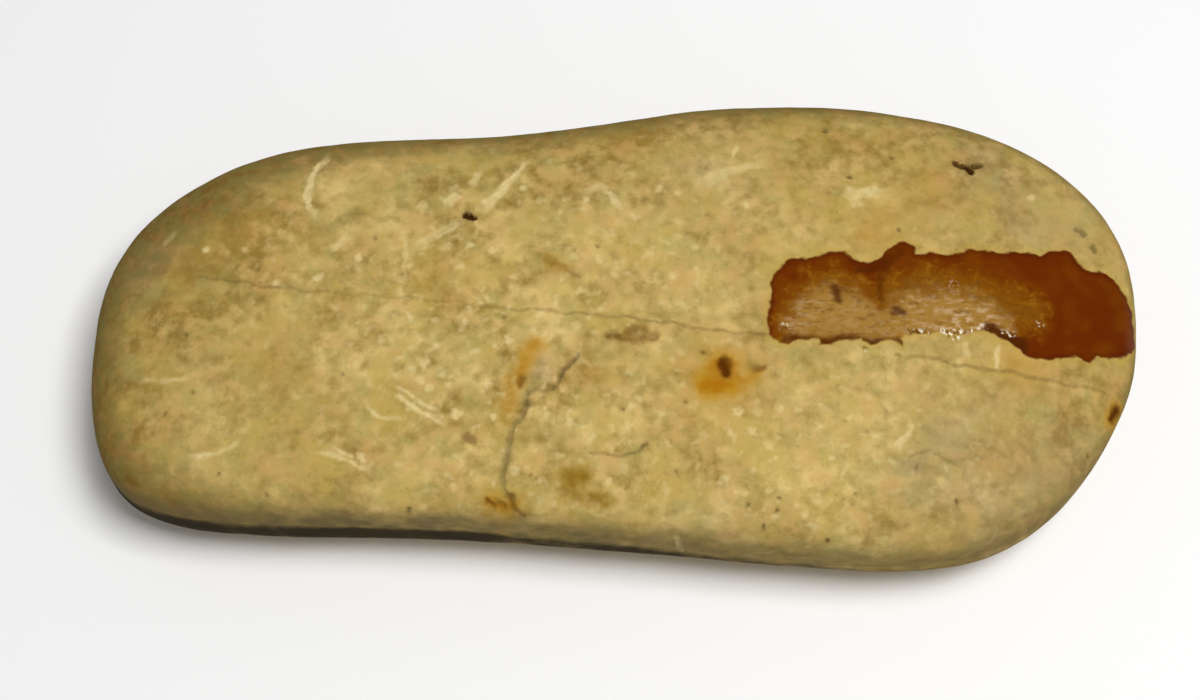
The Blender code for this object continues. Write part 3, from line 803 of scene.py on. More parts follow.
@dataclass(frozen=True)
class Weathering:
    """Small pocks and gentle swells, sunk into the whole surface by Geometry Nodes."""

    pocks_per_square_metre: float = 60000.0
    pock_reach: float = 0.7
    pock_depth: float = 0.12
    swell_size: float = 16.0
    swell_depth: float = 0.25
    ripple_size: float = 4.0
    ripple_depth: float = 0.07
    # A pock's own share of the full reach and depth, and the share of its reach that is flat floor.
    pock_scale: Range = (0.25, 1.0)
    pock_floor: float = 0.1
    # A swell or ripple runs from none to full as its pattern passes these levels.
    noise_levels: Range = (0.2, 0.8)
    seed: int = 7

    def inputs(self) -> dict[str, tuple[str, float | int]]:
        """Return each input's name with its socket type and value, in metres where it is a size."""
        return {
            "Pocks per Area": ("NodeSocketFloat", self.pocks_per_square_metre),
            "Pock Reach": ("NodeSocketFloat", self.pock_reach * MM),
            "Pock Depth": ("NodeSocketFloat", self.pock_depth * MM),
            "Swell Size": ("NodeSocketFloat", self.swell_size * MM),
            "Swell Depth": ("NodeSocketFloat", self.swell_depth * MM),
            "Ripple Size": ("NodeSocketFloat", self.ripple_size * MM),
            "Ripple Depth": ("NodeSocketFloat", self.ripple_depth * MM),
            "Seed": ("NodeSocketInt", self.seed),
        }

    def tree(self, material: bpy.types.Material) -> bpy.types.NodeTree:
        """Build the node tree.

        Args:
            material: The finish that the tree puts on the stone.

        Returns:
            The tree, with its sizes as named inputs.
        """
        tree = bpy.data.node_groups.new("stone_weathering", "GeometryNodeTree")
        tree.interface.new_socket("Geometry", in_out="INPUT", socket_type="NodeSocketGeometry")
        for name, (socket_type, _) in self.inputs().items():
            tree.interface.new_socket(name, in_out="INPUT", socket_type=socket_type)
        tree.interface.new_socket("Geometry", in_out="OUTPUT", socket_type="NodeSocketGeometry")
        bench = NodeBench(tree)
        given = bench.add("NodeGroupInput")
        size = {name: bench.read(given, name) for name in self.inputs()}
        surface = bench.read(given, "Geometry")
        place = bench.read(bench.add("GeometryNodeInputPosition"))

        scatter = bench.add(
            "GeometryNodeDistributePointsOnFaces",
            {"distribute_method": "RANDOM"},
            {"Mesh": surface, "Density": size["Pocks per Area"], "Seed": size["Seed"]},
        )
        points = bench.read(scatter, "Points")
        nearest = bench.read(bench.add(
            "GeometryNodeSampleNearest",
            {"domain": "POINT"},
            {"Geometry": points},
        ))
        middle = bench.read(bench.add(
            "GeometryNodeSampleIndex",
            {"data_type": "FLOAT_VECTOR"},
            {"Geometry": points, "Value": place, "Index": nearest},
        ))
        least, most = self.pock_scale
        chance = bench.read(bench.add(
            "FunctionNodeRandomValue",
            {"data_type": "FLOAT"},
            {"Min_001": least, "Max_001": most, "ID": nearest, "Seed": size["Seed"]},
        ), "Value_001")
        away = bench.vector("DISTANCE", {0: place, 1: middle}, "Value")
        pock = bench.step(away / (size["Pock Reach"] * chance), 1.0, self.pock_floor)

        swell = self.noise(bench, place, size["Swell Size"])
        ripple = self.noise(bench, place, size["Ripple Size"])
        sink = pock * chance * size["Pock Depth"]
        sink = sink + swell * size["Swell Depth"] + ripple * size["Ripple Depth"]
        named = bench.add("GeometryNodeInputNamedAttribute", {"data_type": "FLOAT_VECTOR"}, {"Name": OUTWARD})
        inward = bench.vector("SCALE", {"Vector": bench.read(named), "Scale": sink * -1.0})
        moved = bench.read(bench.add(
            "GeometryNodeSetPosition",
            inputs={"Geometry": surface, "Offset": inward},
        ))
        smooth = bench.read(bench.add("GeometryNodeSetShadeSmooth", inputs={0: moved}))
        real = bench.read(bench.add("GeometryNodeRealizeInstances", inputs={"Geometry": smooth}))
        dressed = bench.read(bench.add(
            "GeometryNodeSetMaterial",
            inputs={"Geometry": real, "Material": material},
        ))
        bench.add("NodeGroupOutput", inputs={"Geometry": dressed})
        return tree

    def noise(self, bench: NodeBench, place: Value, size: Value) -> Value:
        """Return a noise from 0 to 1, with a size that is a tree input."""
        node = bench.add("ShaderNodeTexNoise", inputs={"Vector": place, "Scale": 1.0 / size, "Detail": 1.0})
        return bench.step(bench.read(node, "Fac"), *self.noise_levels)

    def apply(self, stone: bpy.types.Object, material: bpy.types.Material) -> bpy.types.Object:
        """Weather the stone and return it as a plain mesh.

        Args:
            stone: The stone with its main marks.
            material: Its finish.

        Returns:
            A new object, which takes the place of the one given.
        """
        tree = self.tree(material)
        modifier = stone.modifiers.new("weathering", "NODES")
        modifier.node_group = tree
        items = tree.interface.items_tree
        sockets = {item.name: item.identifier for item in items if item.in_out == "INPUT"}
        for name, (_, value) in self.inputs().items():
            modifier[sockets[name]] = value
        evaluated = stone.evaluated_get(bpy.context.evaluated_depsgraph_get())
        mesh = bpy.data.meshes.new_from_object(evaluated)
        name = stone.name
        bpy.data.objects.remove(stone)
        weathered = bpy.data.objects.new(name, mesh)
        mesh.name = name
        bpy.context.scene.collection.objects.link(weathered)
        return weathered


@dataclass(frozen=True)
class Layer:
    """A colour laid over another, where a value passes from the first level to the second.

    A layer with a pattern of its own can be laid in patches, where that pattern passes them.
    """

    colour: Colour
    levels: Range
    most: float = 1.0
    pattern: Pattern | None = None

    def laid(
        self, bench: NodeBench, below: Value | Colour, value: Value, share: Value | None = None
    ) -> Value:
        """Lay the colour over another.

        Args:
            bench: The material's nodes.
            below: The colour that it covers.
            value: What passes the levels.
            share: How much of the layer there is at each place, or None for all of it.

        Returns:
            The mixed colour.
        """
        cover = bench.step(value, *self.levels) * self.most
        if share is not None:
            cover = cover * share
        return bench.blend(cover, below, self.colour)

    def patched(
        self, bench: NodeBench, below: Value | Colour, place: Value, share: Value | None = None
    ) -> Value:
        """Lay the colour over another in patches of its own pattern."""
        return self.laid(bench, below, bench.noise(place, self.pattern), share)


@dataclass(frozen=True)
class BareRock:
    """The bare rock's colour: soft blots of every size, pink, green and yellow hints, grains and flecks."""

    light: Colour = (0.720, 0.530, 0.195)
    dark: Colour = (0.285, 0.180, 0.038)
    broad: Pattern = Pattern(24.0, 3.0)
    mottle: Pattern = Pattern(9.0, 2.0, 0.8)
    blot: Pattern = Pattern(2.3, 3.0, 0.55)
    broad_swing: float = 0.95
    blot_swing: float = 1.25
    # How much the smaller blots count on plain rock, and how much more on flecked rock.
    plain_life: float = 1.05
    flecked_life: float = 0.45
    # The tone's curve, which lifts the light blots more than the dark ones.
    middle_tone: float = 0.50
    slope: float = 0.85
    light_levels: Range = (0.40, 1.10)
    light_lift: float = 0.30
    lift: float = 0.015
    # What the pale tint adds to the tone, and what the brown one takes from it.
    pale_lift: float = 0.17
    brown_fall: float = 0.10
    brown_mottle: float = 0.40
    hints: tuple[Layer, ...] = (
        Layer((0.510, 0.300, 0.092), (0.42, 0.72), 0.75, Pattern(4.6, 3.0, 0.6)),
        Layer((0.405, 0.335, 0.100), (0.44, 0.74), 0.70, Pattern(6.0, 3.0, 0.6)),
        Layer((0.500, 0.360, 0.085), (0.42, 0.74), 0.70, Pattern(8.0, 3.0, 0.6)),
    )
    grains: Layer = Layer((0.185, 0.115, 0.032), (0.52, 0.78), 0.35, Pattern(0.9))
    grain_mottle: Range = (0.68, 0.38)
    flecks: Layer = Layer((0.780, 0.635, 0.300), (0.56, 0.82), 0.55, Pattern(1.9, 1.0, 0.4))
    least_flecked: float = 0.15
    dot_spacing: float = 5.2
    dot_radius: float = 0.35
    dotted_share: float = 0.25
    dot_strength: float = 0.5

    def tone(self, bench: NodeBench, place: Value, mottle: Value, flecked: Value) -> Value:
        """Work out how light the rock is.

        Args:
            bench: The material's nodes.
            place: Object coordinates.
            mottle: The mottle's pattern.
            flecked: How flecked the rock is.

        Returns:
            The tone, from 0 for dark rock to 1 for light rock. It may run past both.
        """
        blots = mottle.swing(self.blot_swing) + bench.noise(place, self.blot).swing(self.blot_swing)
        tone = bench.noise(place, self.broad).swing(self.broad_swing)
        tone = tone + blots * (flecked * self.flecked_life + self.plain_life) + self.middle_tone
        tone = tone * self.slope + bench.step(tone, *self.light_levels) * self.light_lift + self.lift
        tone = tone + bench.attribute(Tint.PALE.value) * self.pale_lift
        return tone - bench.attribute(Tint.BROWN.value) * (mottle * self.brown_mottle + self.brown_fall)

    def colour(self, bench: NodeBench, place: Value) -> Value:
        """Colour the bare rock.

        Args:
            bench: The material's nodes.
            place: Object coordinates.

        Returns:
            The rock's colour.
        """
        mottle = bench.noise(place, self.mottle)
        flecked = bench.attribute(Tint.FLECKED.value)
        colour = bench.blend(self.tone(bench, place, mottle, flecked), self.dark, self.light)
        for hint in self.hints:
            colour = hint.patched(bench, colour, place)
        colour = self.grains.patched(bench, colour, place, bench.step(mottle, *self.grain_mottle))
        colour = self.flecks.patched(bench, colour, place, flecked + self.least_flecked)
        dots = bench.dots(place, self.dot_spacing, self.dot_radius, self.dotted_share)
        return bench.blend(dots * self.dot_strength, colour, self.grains.colour)


@dataclass(frozen=True)
class AgeingAndShade:
    """What age has put on the rock, with painted shade: soft tints, the rims' dark patina with painted shade,
    the steep sides' dirt tint with painted shade, and a painted shadow at the near side's foot.
    """

    # Each tint's colour, and the pattern of the faint patches that it has everywhere.
    tints: tuple[tuple[Tint, Colour, Pattern], ...] = (
        (Tint.GREY, (0.340, 0.270, 0.165), Pattern(34.0, 3.0)),
        (Tint.ORANGE, (0.480, 0.270, 0.055), Pattern(40.0, 3.0)),
        (Tint.GREEN, (0.350, 0.310, 0.105), Pattern(37.0, 3.0)),
    )
    tint_strength: float = 0.7
    faint_levels: Range = (0.58, 0.80)
    faint_strength: float = 0.3
    # The clouds make the tints uneven: their pattern times the swing, less the fall.
    cloud: Pattern = Pattern(5.0, 4.0, 0.6)
    cloud_swing: float = 2.0
    cloud_fall: float = 0.2

    # The rim's dark band: brown patina that also paints the shade where the rim rolls away.
    rim_patina_and_shade: Colour = (0.190, 0.105, 0.020)
    green_patina: Layer = Layer((0.205, 0.165, 0.043), (0.38, 0.58), 0.9)
    ruddy_patina: Layer = Layer((0.300, 0.155, 0.050), (0.52, 0.66), 0.7, Pattern(4.0, 3.0, 0.6))
    dabs: Pattern = Pattern(3.0, 4.0, 0.7)
    dab_swing: float = 0.9
    dab_cloud_swing: float = 0.8
    rim_band_levels: Range = (0.0, 0.95)
    rim_band_start: Range = (0.0, 0.25)
    most_rim_band: float = 0.88

    # An olive dirt tint that also paints the steep sides' shade, unevenly by the clouds.
    wall_dirt_and_shade_colour: Colour = (0.165, 0.125, 0.055)
    wall_cloud: Range = (0.30, 0.70)
    wall_swing: float = 0.5
    least_wall: float = 0.55

    # A near-black painted shadow low on the near side, with an uneven edge.
    painted_foot_shadow: Layer = Layer((0.024, 0.018, 0.010), (0.0, 1.0), 0.92)
    foot_waves: Pattern = Pattern(12.0)
    foot_crumbs: Pattern = Pattern(3.5, 3.0, 0.7)
    foot_wave_swing: float = 1.3
    foot_crumb_swing: float = 1.1
    foot_start: Range = (0.0, 0.5)

    def aged_and_shaded(self, bench: NodeBench, place: Value, colour: Value) -> Value:
        """Lay the soft tints, the rims' patina with painted shade, and the steep sides' dirt tint with
        painted shade over the rock.

        Args:
            bench: The material's nodes.
            place: Object coordinates.
            colour: The rock's colour.

        Returns:
            The aged colour, with painted shade.
        """
        cloud = bench.noise(place, self.cloud)
        for tint, shade, pattern in self.tints:
            faint = bench.step(bench.noise(place, pattern), *self.faint_levels) * self.faint_strength
            amount = bench.attribute(tint.value) * self.tint_strength + faint
            colour = bench.blend(amount * (cloud * self.cloud_swing - self.cloud_fall), colour, shade)
        # Patina and painted shade along the rim, uneven by dabs and clouds.
        rim_patina_and_shade = bench.attribute(Cover.RIM_PATINA_AND_SHADE.value)
        dabs = bench.noise(place, self.dabs)
        uneven = rim_patina_and_shade + dabs.swing(self.dab_swing) + cloud.swing(self.dab_cloud_swing)
        cover = bench.step(uneven, *self.rim_band_levels) * bench.step(rim_patina_and_shade, *self.rim_band_start)
        shade = self.green_patina.laid(bench, self.rim_patina_and_shade, dabs)
        shade = self.ruddy_patina.patched(bench, shade, place)
        colour = bench.blend(cover * self.most_rim_band, colour, shade)
        # Painted shade with a dirt tint on the steep sides.
        clouded = bench.step(cloud, *self.wall_cloud) * self.wall_swing + self.least_wall
        return bench.blend(bench.attribute(Cover.WALL.value) * clouded, colour, self.wall_dirt_and_shade_colour)

    def footed(self, bench: NodeBench, place: Value, colour: Value) -> Value:
        """Lay a painted shadow over the foot of the near side.

        Args:
            bench: The material's nodes.
            place: Object coordinates.
            colour: The rock's colour with its marks.

        Returns:
            The colour with the painted shadow on it.
        """
        waves = bench.noise(place, self.foot_waves).swing(self.foot_wave_swing)
        crumbs = bench.noise(place, self.foot_crumbs).swing(self.foot_crumb_swing)
        side_shading = bench.attribute(Cover.FOOT_SHADOW.value)
        start = bench.step(side_shading, *self.foot_start)
        return self.painted_foot_shadow.laid(bench, colour, side_shading + waves + crumbs, start)


@dataclass(frozen=True)
class MarkPaint:
    """How one kind of mark is coloured, from the stored distance inside it.

    The mark starts to show at the first level and is full at the second, both in millimetres inside
    its edge. Its edge wanders by up to ragged millimetres, in waves of ragged_size. Broken marks
    fade here and there.
    """

    mark: Mark
    colour: Colour
    levels: Range
    ragged: float
    ragged_size: float
    most: float = 1.0
    broken: float = 0.0


@dataclass(frozen=True)
class MarkColours:
    """The colours of the marks, in the order in which they lie over one another."""

    paints: tuple[MarkPaint, ...] = (
        MarkPaint(Mark.OLIVE, (0.245, 0.180, 0.045), (-1.4, 1.0), 1.6, 1.6),
        MarkPaint(Mark.OCHRE, (0.350, 0.215, 0.022), (-1.9, 1.7), 1.6, 2.0, 0.95),
        MarkPaint(Mark.OCHRE, (0.215, 0.115, 0.008), (-0.7, 1.9), 2.2, 1.8, 0.8),
        MarkPaint(Mark.RUST, (0.460, 0.240, 0.014), (-2.0, 1.1), 1.3, 2.4, 0.95),
        MarkPaint(Mark.RUST, (0.380, 0.145, 0.003), (-0.2, 2.2), 1.4, 1.8, 0.9),
        MarkPaint(Mark.SCRATCH, (0.740, 0.590, 0.270), (-0.50, 0.30), 0.4, 1.2, 0.95, 0.4),
        MarkPaint(Mark.CHIP, (0.205, 0.105, 0.018), (-0.75, 0.55), 0.6, 1.2, 0.85, 0.3),
        MarkPaint(Mark.SPECK, (0.085, 0.055, 0.018), (-0.45, 0.35), 0.3, 0.6, 0.95, 0.2),
        MarkPaint(Mark.VEIN, (0.185, 0.120, 0.032), (-0.45, 0.20), 0.2, 1.2, 0.85, 0.40),
        MarkPaint(Mark.CRACK, (0.125, 0.088, 0.032), (-0.65, 0.45), 0.4, 1.2, 0.9, 0.2),
        MarkPaint(Mark.IRON, (0.090, 0.022, 0.001), (-0.75, 0.75), 0.35, 0.9),
        MarkPaint(Mark.PIT, (0.050, 0.018, 0.003), (-0.35, 0.35), 0.4, 0.6),
    )
    wear: Pattern = Pattern(1.6)
    wear_levels: Range = (0.36, 0.62)

    def marked(self, bench: NodeBench, place: Value, colour: Value) -> Value:
        """Paint the marks on the rock.

        Args:
            bench: The material's nodes.
            place: Object coordinates.
            colour: The rock's colour, aged and with painted shade.

        Returns:
            The colour with the marks on it.
        """
        for paint in self.paints:
            ragged = bench.noise(place, Pattern(paint.ragged_size)).swing(2.0 * paint.ragged)
            strength = bench.attribute(paint.mark.strength_name)
            if paint.broken:
                whole = bench.step(bench.noise(place, self.wear), *self.wear_levels)
                strength = strength * (whole * paint.broken + (1.0 - paint.broken))
            layer = Layer(paint.colour, paint.levels, paint.most)
            colour = layer.laid(bench, colour, bench.attribute(paint.mark.value) + ragged, strength)
        return colour


@dataclass(frozen=True)
class VarnishFinish:
    """The varnish: a thick red-brown rim, an amber inner part and a thin, worn, wiped heart, with a painted
    sheen and painted glints.

    The levels of its layers are in millimetres inside the strip's rings, or in a pattern's own units.
    """

    dry: Colour = (0.128, 0.019, 0.0002)
    pools: Layer = Layer((0.170, 0.040, 0.0004), (0.40, 0.66), 0.7, Pattern(7.0, 3.0))
    rim: Layer = Layer((0.065, 0.008, 0.0002), (1.4, 0.1), 0.5)
    wet: Layer = Layer((0.170, 0.040, 0.0004), (-3.6, -0.4), 0.75)
    amber: Layer = Layer((0.200, 0.068, 0.002), (-2.2, 1.6))
    lit: Layer = Layer((0.300, 0.120, 0.005), (0.50, 0.66), 0.6, Pattern(1.5, 3.0, 0.7))
    lit_start: Range = (-3.0, 0.5)
    thin: Layer = Layer((0.340, 0.178, 0.034), (-1.8, 2.4))
    flecks: Layer = Layer((0.135, 0.050, 0.006), (0.48, 0.70), 0.6)
    fleck_start: Range = (-1.0, 2.0)
    # Painted sheen, laid in streaks over the worn heart.
    sheen: Layer = Layer((0.580, 0.410, 0.230), (0.46, 0.66))
    sheen_start: Range = (-1.5, 1.5)
    sheen_strength: float = 0.42
    least_sheen: float = 0.10
    drip: Layer = Layer((0.072, 0.015, 0.0005), (-0.9, 0.5))
    drip_swing: float = 1.6
    halo: Layer = Layer((0.480, 0.310, 0.050), (-1.5, -0.1), 0.35)
    # Painted glints.
    glint: Layer = Layer((0.860, 0.770, 0.600), (0.54, 0.62))
    dark_glint: Layer = Layer((0.135, 0.050, 0.006), (0.44, 0.38), 0.8)
    glint_levels: Range = (-0.5, 0.5)
    glint_swing: float = 3.0
    glitter: Pattern = Pattern(0.8, 1.0)

    brush_stretch: tuple[float, float, float] = (0.45, 1.0, 1.0)
    streaks: Pattern = Pattern(1.1, 3.0, 0.6)
    sheen_streaks: Pattern = Pattern(0.9, 2.0, 0.6)
    coarse: Pattern = Pattern(3.0, 3.0)
    coarse_swing: float = 5.0
    streak_swing: float = 2.5
    edge_waves: Pattern = Pattern(1.3)
    edge_swing: float = 0.7
    film_levels: Range = (-0.32, 0.26)
    roughness: float = 0.24
    streak_roughness: float = 0.15

    def brushed(self, bench: NodeBench, place: Value, pattern: Pattern) -> Value:
        """Return a pattern that is drawn out along the brush's stroke."""
        return bench.noise(bench.vector("MULTIPLY", {0: place, 1: self.brush_stretch}), pattern)

    def film(self, bench: NodeBench, place: Value, edge: Value, coarse: Value, streaks: Value) -> Value:
        """Colour the film itself.

        Args:
            bench: The material's nodes.
            place: Object coordinates.
            edge: How far inside the strip's edge each place is, in millimetres.
            coarse: The pattern that makes the inner parts' edges uneven.
            streaks: The pattern of the brush's streaks.

        Returns:
            The film's colour, also where there is no film.
        """
        uneven = coarse.swing(self.coarse_swing) + streaks.swing(self.streak_swing)
        amber = bench.attribute(Cover.AMBER.value) + uneven
        worn = bench.attribute(Cover.HEART.value) + uneven
        colour = self.pools.patched(bench, self.dry, place)
        colour = self.rim.laid(bench, colour, edge)
        colour = self.wet.laid(bench, colour, amber)
        colour = self.amber.laid(bench, colour, amber)
        colour = self.lit.patched(bench, colour, place, bench.step(amber, *self.lit_start))
        colour = self.thin.laid(bench, colour, worn)
        colour = self.flecks.laid(bench, colour, streaks, bench.step(amber, *self.fleck_start))
        sheen = bench.attribute(Tint.SHEEN.value) * self.sheen_strength + self.least_sheen
        sheen = sheen * bench.step(worn, *self.sheen_start)
        colour = self.sheen.laid(bench, colour, self.brushed(bench, place, self.sheen_streaks), sheen)
        drip = bench.attribute(Mark.DRIP.value) + streaks.swing(self.drip_swing)
        return self.drip.laid(bench, colour, drip, bench.attribute(Mark.DRIP.strength_name))

    def varnished(self, bench: NodeBench, place: Value, colour: Value) -> tuple[Value, Value, Value]:
        """Put the varnish on the stone.

        Args:
            bench: The material's nodes.
            place: Object coordinates.
            colour: The stone's colour.

        Returns:
            How much film there is, the colour with it on, and the film's own roughness.
        """
        coarse = bench.noise(place, self.coarse)
        streaks = self.brushed(bench, place, self.streaks)
        waves = bench.noise(place, self.edge_waves).swing(self.edge_swing)
        edge = bench.attribute(Cover.VARNISH.value) + waves
        film = bench.step(edge, *self.film_levels)
        colour = self.halo.laid(bench, colour, edge)
        colour = bench.blend(film, colour, self.film(bench, place, edge, coarse, streaks))
        # Painted glints: white specks, with dark ones among them, where the glint marks lie.
        glint = bench.attribute(Mark.GLINT.value) + coarse.swing(self.glint_swing)
        glint = bench.step(glint, *self.glint_levels)
        glitter = bench.noise(place, self.glitter)
        colour = self.glint.laid(bench, colour, glitter, glint)
        colour = self.dark_glint.laid(bench, colour, glitter, glint)
        return film, colour, streaks * self.streak_roughness + self.roughness


@dataclass(frozen=True)
class StoneFinish:
    """The stone's whole surface: its rock, what age has put on it with painted shade and shadow, its marks
    and its varnish with painted sheen and glints.
    """

    rock: BareRock = BareRock()
    ageing_and_shade: AgeingAndShade = AgeingAndShade()
    marks: MarkColours = MarkColours()
    varnish: VarnishFinish = VarnishFinish()
    roughness: float = 0.70
    roughness_waves: Pattern = Pattern(1.4)
    roughness_swing: float = 0.25
    coat: float = 0.08
    coat_roughness: float = 0.12
    specular: float = 0.01

    # The heights of the soft grain and the film's waves are beside that of the fine grain.
    fine_grain: Pattern = Pattern(0.5, 3.0)
    soft_grain: Pattern = Pattern(1.9)
    soft_height: float = 2.5
    filled_share: float = 0.8
    film_waves: Pattern = Pattern(1.8, 1.0)
    wave_height: float = 0.8
    bump_strength: float = 0.6
    bump_height: float = 0.06  # in millimetres

    def material(self) -> bpy.types.Material:
        """Build the material."""
        material = bpy.data.materials.new("water_worn_stone")
        material.use_nodes = True
        bench = NodeBench(material.node_tree)
        place = bench.read(bench.add("ShaderNodeTexCoord"), "Object")
        colour = self.ageing_and_shade.aged_and_shaded(bench, place, self.rock.colour(bench, place))
        # The painted shadow of the near side's foot goes over the marks.
        colour = self.ageing_and_shade.footed(bench, place, self.marks.marked(bench, place, colour))
        film, colour, gloss = self.varnish.varnished(bench, place, colour)
        waves = bench.noise(place, self.roughness_waves).swing(self.roughness_swing)
        shader = bench.add("ShaderNodeBsdfPrincipled", inputs={
            "Base Color": colour,
            "Roughness": (waves + self.roughness) * (1.0 - film) + film * gloss,
            "Coat Weight": film * self.coat,
            "Normal": self.grain(bench, place, film),
            "Coat Roughness": self.coat_roughness,
            "Specular IOR Level": self.specular,
        })
        bench.add("ShaderNodeOutputMaterial", inputs={"Surface": bench.read(shader)})
        return material

    def grain(self, bench: NodeBench, place: Value, film: Value) -> Value:
        """Raise the rock's grain, which the film partly fills, and the film's own small waves.

        Args:
            bench: The material's nodes.
            place: Object coordinates.
            film: How much varnish there is at each place.

        Returns:
            The bumped normal.
        """
        rock = bench.noise(place, self.fine_grain) + bench.noise(place, self.soft_grain) * self.soft_height
        waves = bench.noise(place, self.film_waves) * self.wave_height
        bump = bench.add("ShaderNodeBump", inputs={
            "Height": rock * (1.0 - film * self.filled_share) + waves * film,
            "Strength": self.bump_strength,
            "Distance": self.bump_height * MM,
        })
        return bench.read(bump, "Normal")


@dataclass(frozen=True)
class HiddenKind:
    """How many marks of one kind lie on the hidden sides, and how wide, long and strong they are."""

    mark: Mark
    count: int
    widths: Range
    lengths: Range
    strength: float


@dataclass(frozen=True)
class HiddenMarks:
    """Marks on the sides and the underside, which take their places from a fixed seed."""

    seed: int = 23
    kinds: tuple[HiddenKind, ...] = (
        HiddenKind(Mark.SCRATCH, 22, (0.5, 1.1), (3.0, 13.0), 0.55),
        HiddenKind(Mark.SCRATCH, 34, (0.9, 1.5), (0.2, 0.8), 0.55),
        HiddenKind(Mark.SPECK, 30, (0.7, 1.2), (0.2, 0.8), 0.7),
        HiddenKind(Mark.OCHRE, 5, (3.0, 5.0), (2.0, 6.0), 0.5),
        HiddenKind(Mark.RUST, 5, (2.0, 3.6), (1.0, 4.0), 0.6),
        HiddenKind(Mark.OLIVE, 9, (1.4, 3.0), (3.0, 9.0), 0.5),
        HiddenKind(Mark.VEIN, 4, (0.35, 0.5), (14.0, 34.0), 0.55),
    )
    # The unit box's faces that a draw chooses from, by axis and value: far side, near side, twice below.
    faces: tuple[tuple[int, float], ...] = ((1, 1.0), (1, -1.0), (2, -1.0), (2, -1.0))
    # How far from the box's middle a path may start, and how high, both in half box sizes.
    spread: float = 0.85
    highest: float = -0.05
    path_places: int = 4
    narrowing: float = 0.7
    least_strength: float = 0.6
    depth: float = 0.04

    def path(
        self, rng: np.random.Generator, lengths: Range, form: StoneForm
    ) -> tuple[tuple[float, ...], ...]:
        """Draw a straight path on one face of the unit box, and return its places on the stone.

        Args:
            rng: Where the random numbers come from.
            lengths: The least and the greatest length, in millimetres.
            form: The stone's form.

        Returns:
            The path's places in space.
        """
        start = rng.uniform(-self.spread, self.spread, 3)
        axis, value = self.faces[rng.integers(0, len(self.faces))]
        start[axis] = value
        start[2] = min(start[2], self.highest)
        run = rng.uniform(-1.0, 1.0, 3) * np.where(np.abs(start) == 1.0, 0.0, 1.0)
        length = rng.uniform(*lengths)
        run *= length / np.linalg.norm(run * (form.half_length, form.half_width, form.drop_to_underside))
        steps = np.linspace(0.0, 1.0, self.path_places)[:, None]
        return tuple(map(tuple, form.solid_places(np.clip(start + run * steps, -1.0, 1.0))))

    def strokes(self, form: StoneForm) -> dict[Mark, list[Stroke]]:
        """Lay the marks out.

        Args:
            form: The stone's form, which their paths follow.

        Returns:
            Strokes in space, by kind.
        """
        rng = np.random.default_rng(self.seed)
        found: dict[Mark, list[Stroke]] = {}
        for kind in self.kinds:
            for _ in range(kind.count):
                path = self.path(rng, kind.lengths, form)
                width = rng.uniform(*kind.widths)
                strength = kind.strength * rng.uniform(self.least_strength, 1.0)
                stroke = Stroke(path, width, width * self.narrowing, strength, self.depth)
                found.setdefault(kind.mark, []).append(stroke)
        return found


@dataclass(frozen=True)
class RimPatinaAndShade:
    """The dark band of the rim and the lower sides, partly brown patina and partly painted shade, in
    millimetres.
    """

    # A turn in degrees anticlockwise from the wide end, the band's width on the top and its strength.
    turns: tuple[tuple[float, float, float], ...] = (
        (0, 4, 0.60), (40, 7, 0.70), (66, 10, 1.00), (95, 13, 1.00), (115, 11, 1.05), (135, 16, 1.10),
        (150, 22, 1.20), (166, 20, 0.90), (185, 12, 0.90), (205, 13, 0.95), (219, 12, 1.00), (229, 6, 0.60),
        (240, 5, 0.30), (270, 3, 0.15), (295, 4, 0.20), (308, 8, 0.50), (325, 6, 0.40), (360, 4, 0.60),
    )
    # Below the widest level it loses this share of its strength over this depth.
    lower_loss: float = 0.4
    lower_depth: float = 10.0
    underside_strength: float = 0.45
    underside_level: float = 8.0

    def amount(self, form: StoneForm, places: np.ndarray) -> np.ndarray:
        """Work out the patina.

        Args:
            Work out the band of patina and painted shade.
            places: Places on the stone, in millimetres.

        Returns:
            How much patina and painted shade there is at each place, from 0 to a little above 1.
        """
        turns, widths, strengths = np.array(self.turns).T
        turn = form.turn(places)
        gap = ring_inside(form.rim(), places[:, :2])
        near_rim = ease(1 - gap / np.interp(turn, turns, widths))
        drop = form.widest_level - places[:, 2]
        lower = 1 - self.lower_loss * ease(drop / self.lower_depth)
        underside = ease((self.underside_level - places[:, 2]) / self.underside_level)
        underside = self.underside_strength * underside
        return np.maximum(np.interp(turn, turns, strengths) * np.where(drop > 0, lower, near_rim), underside)


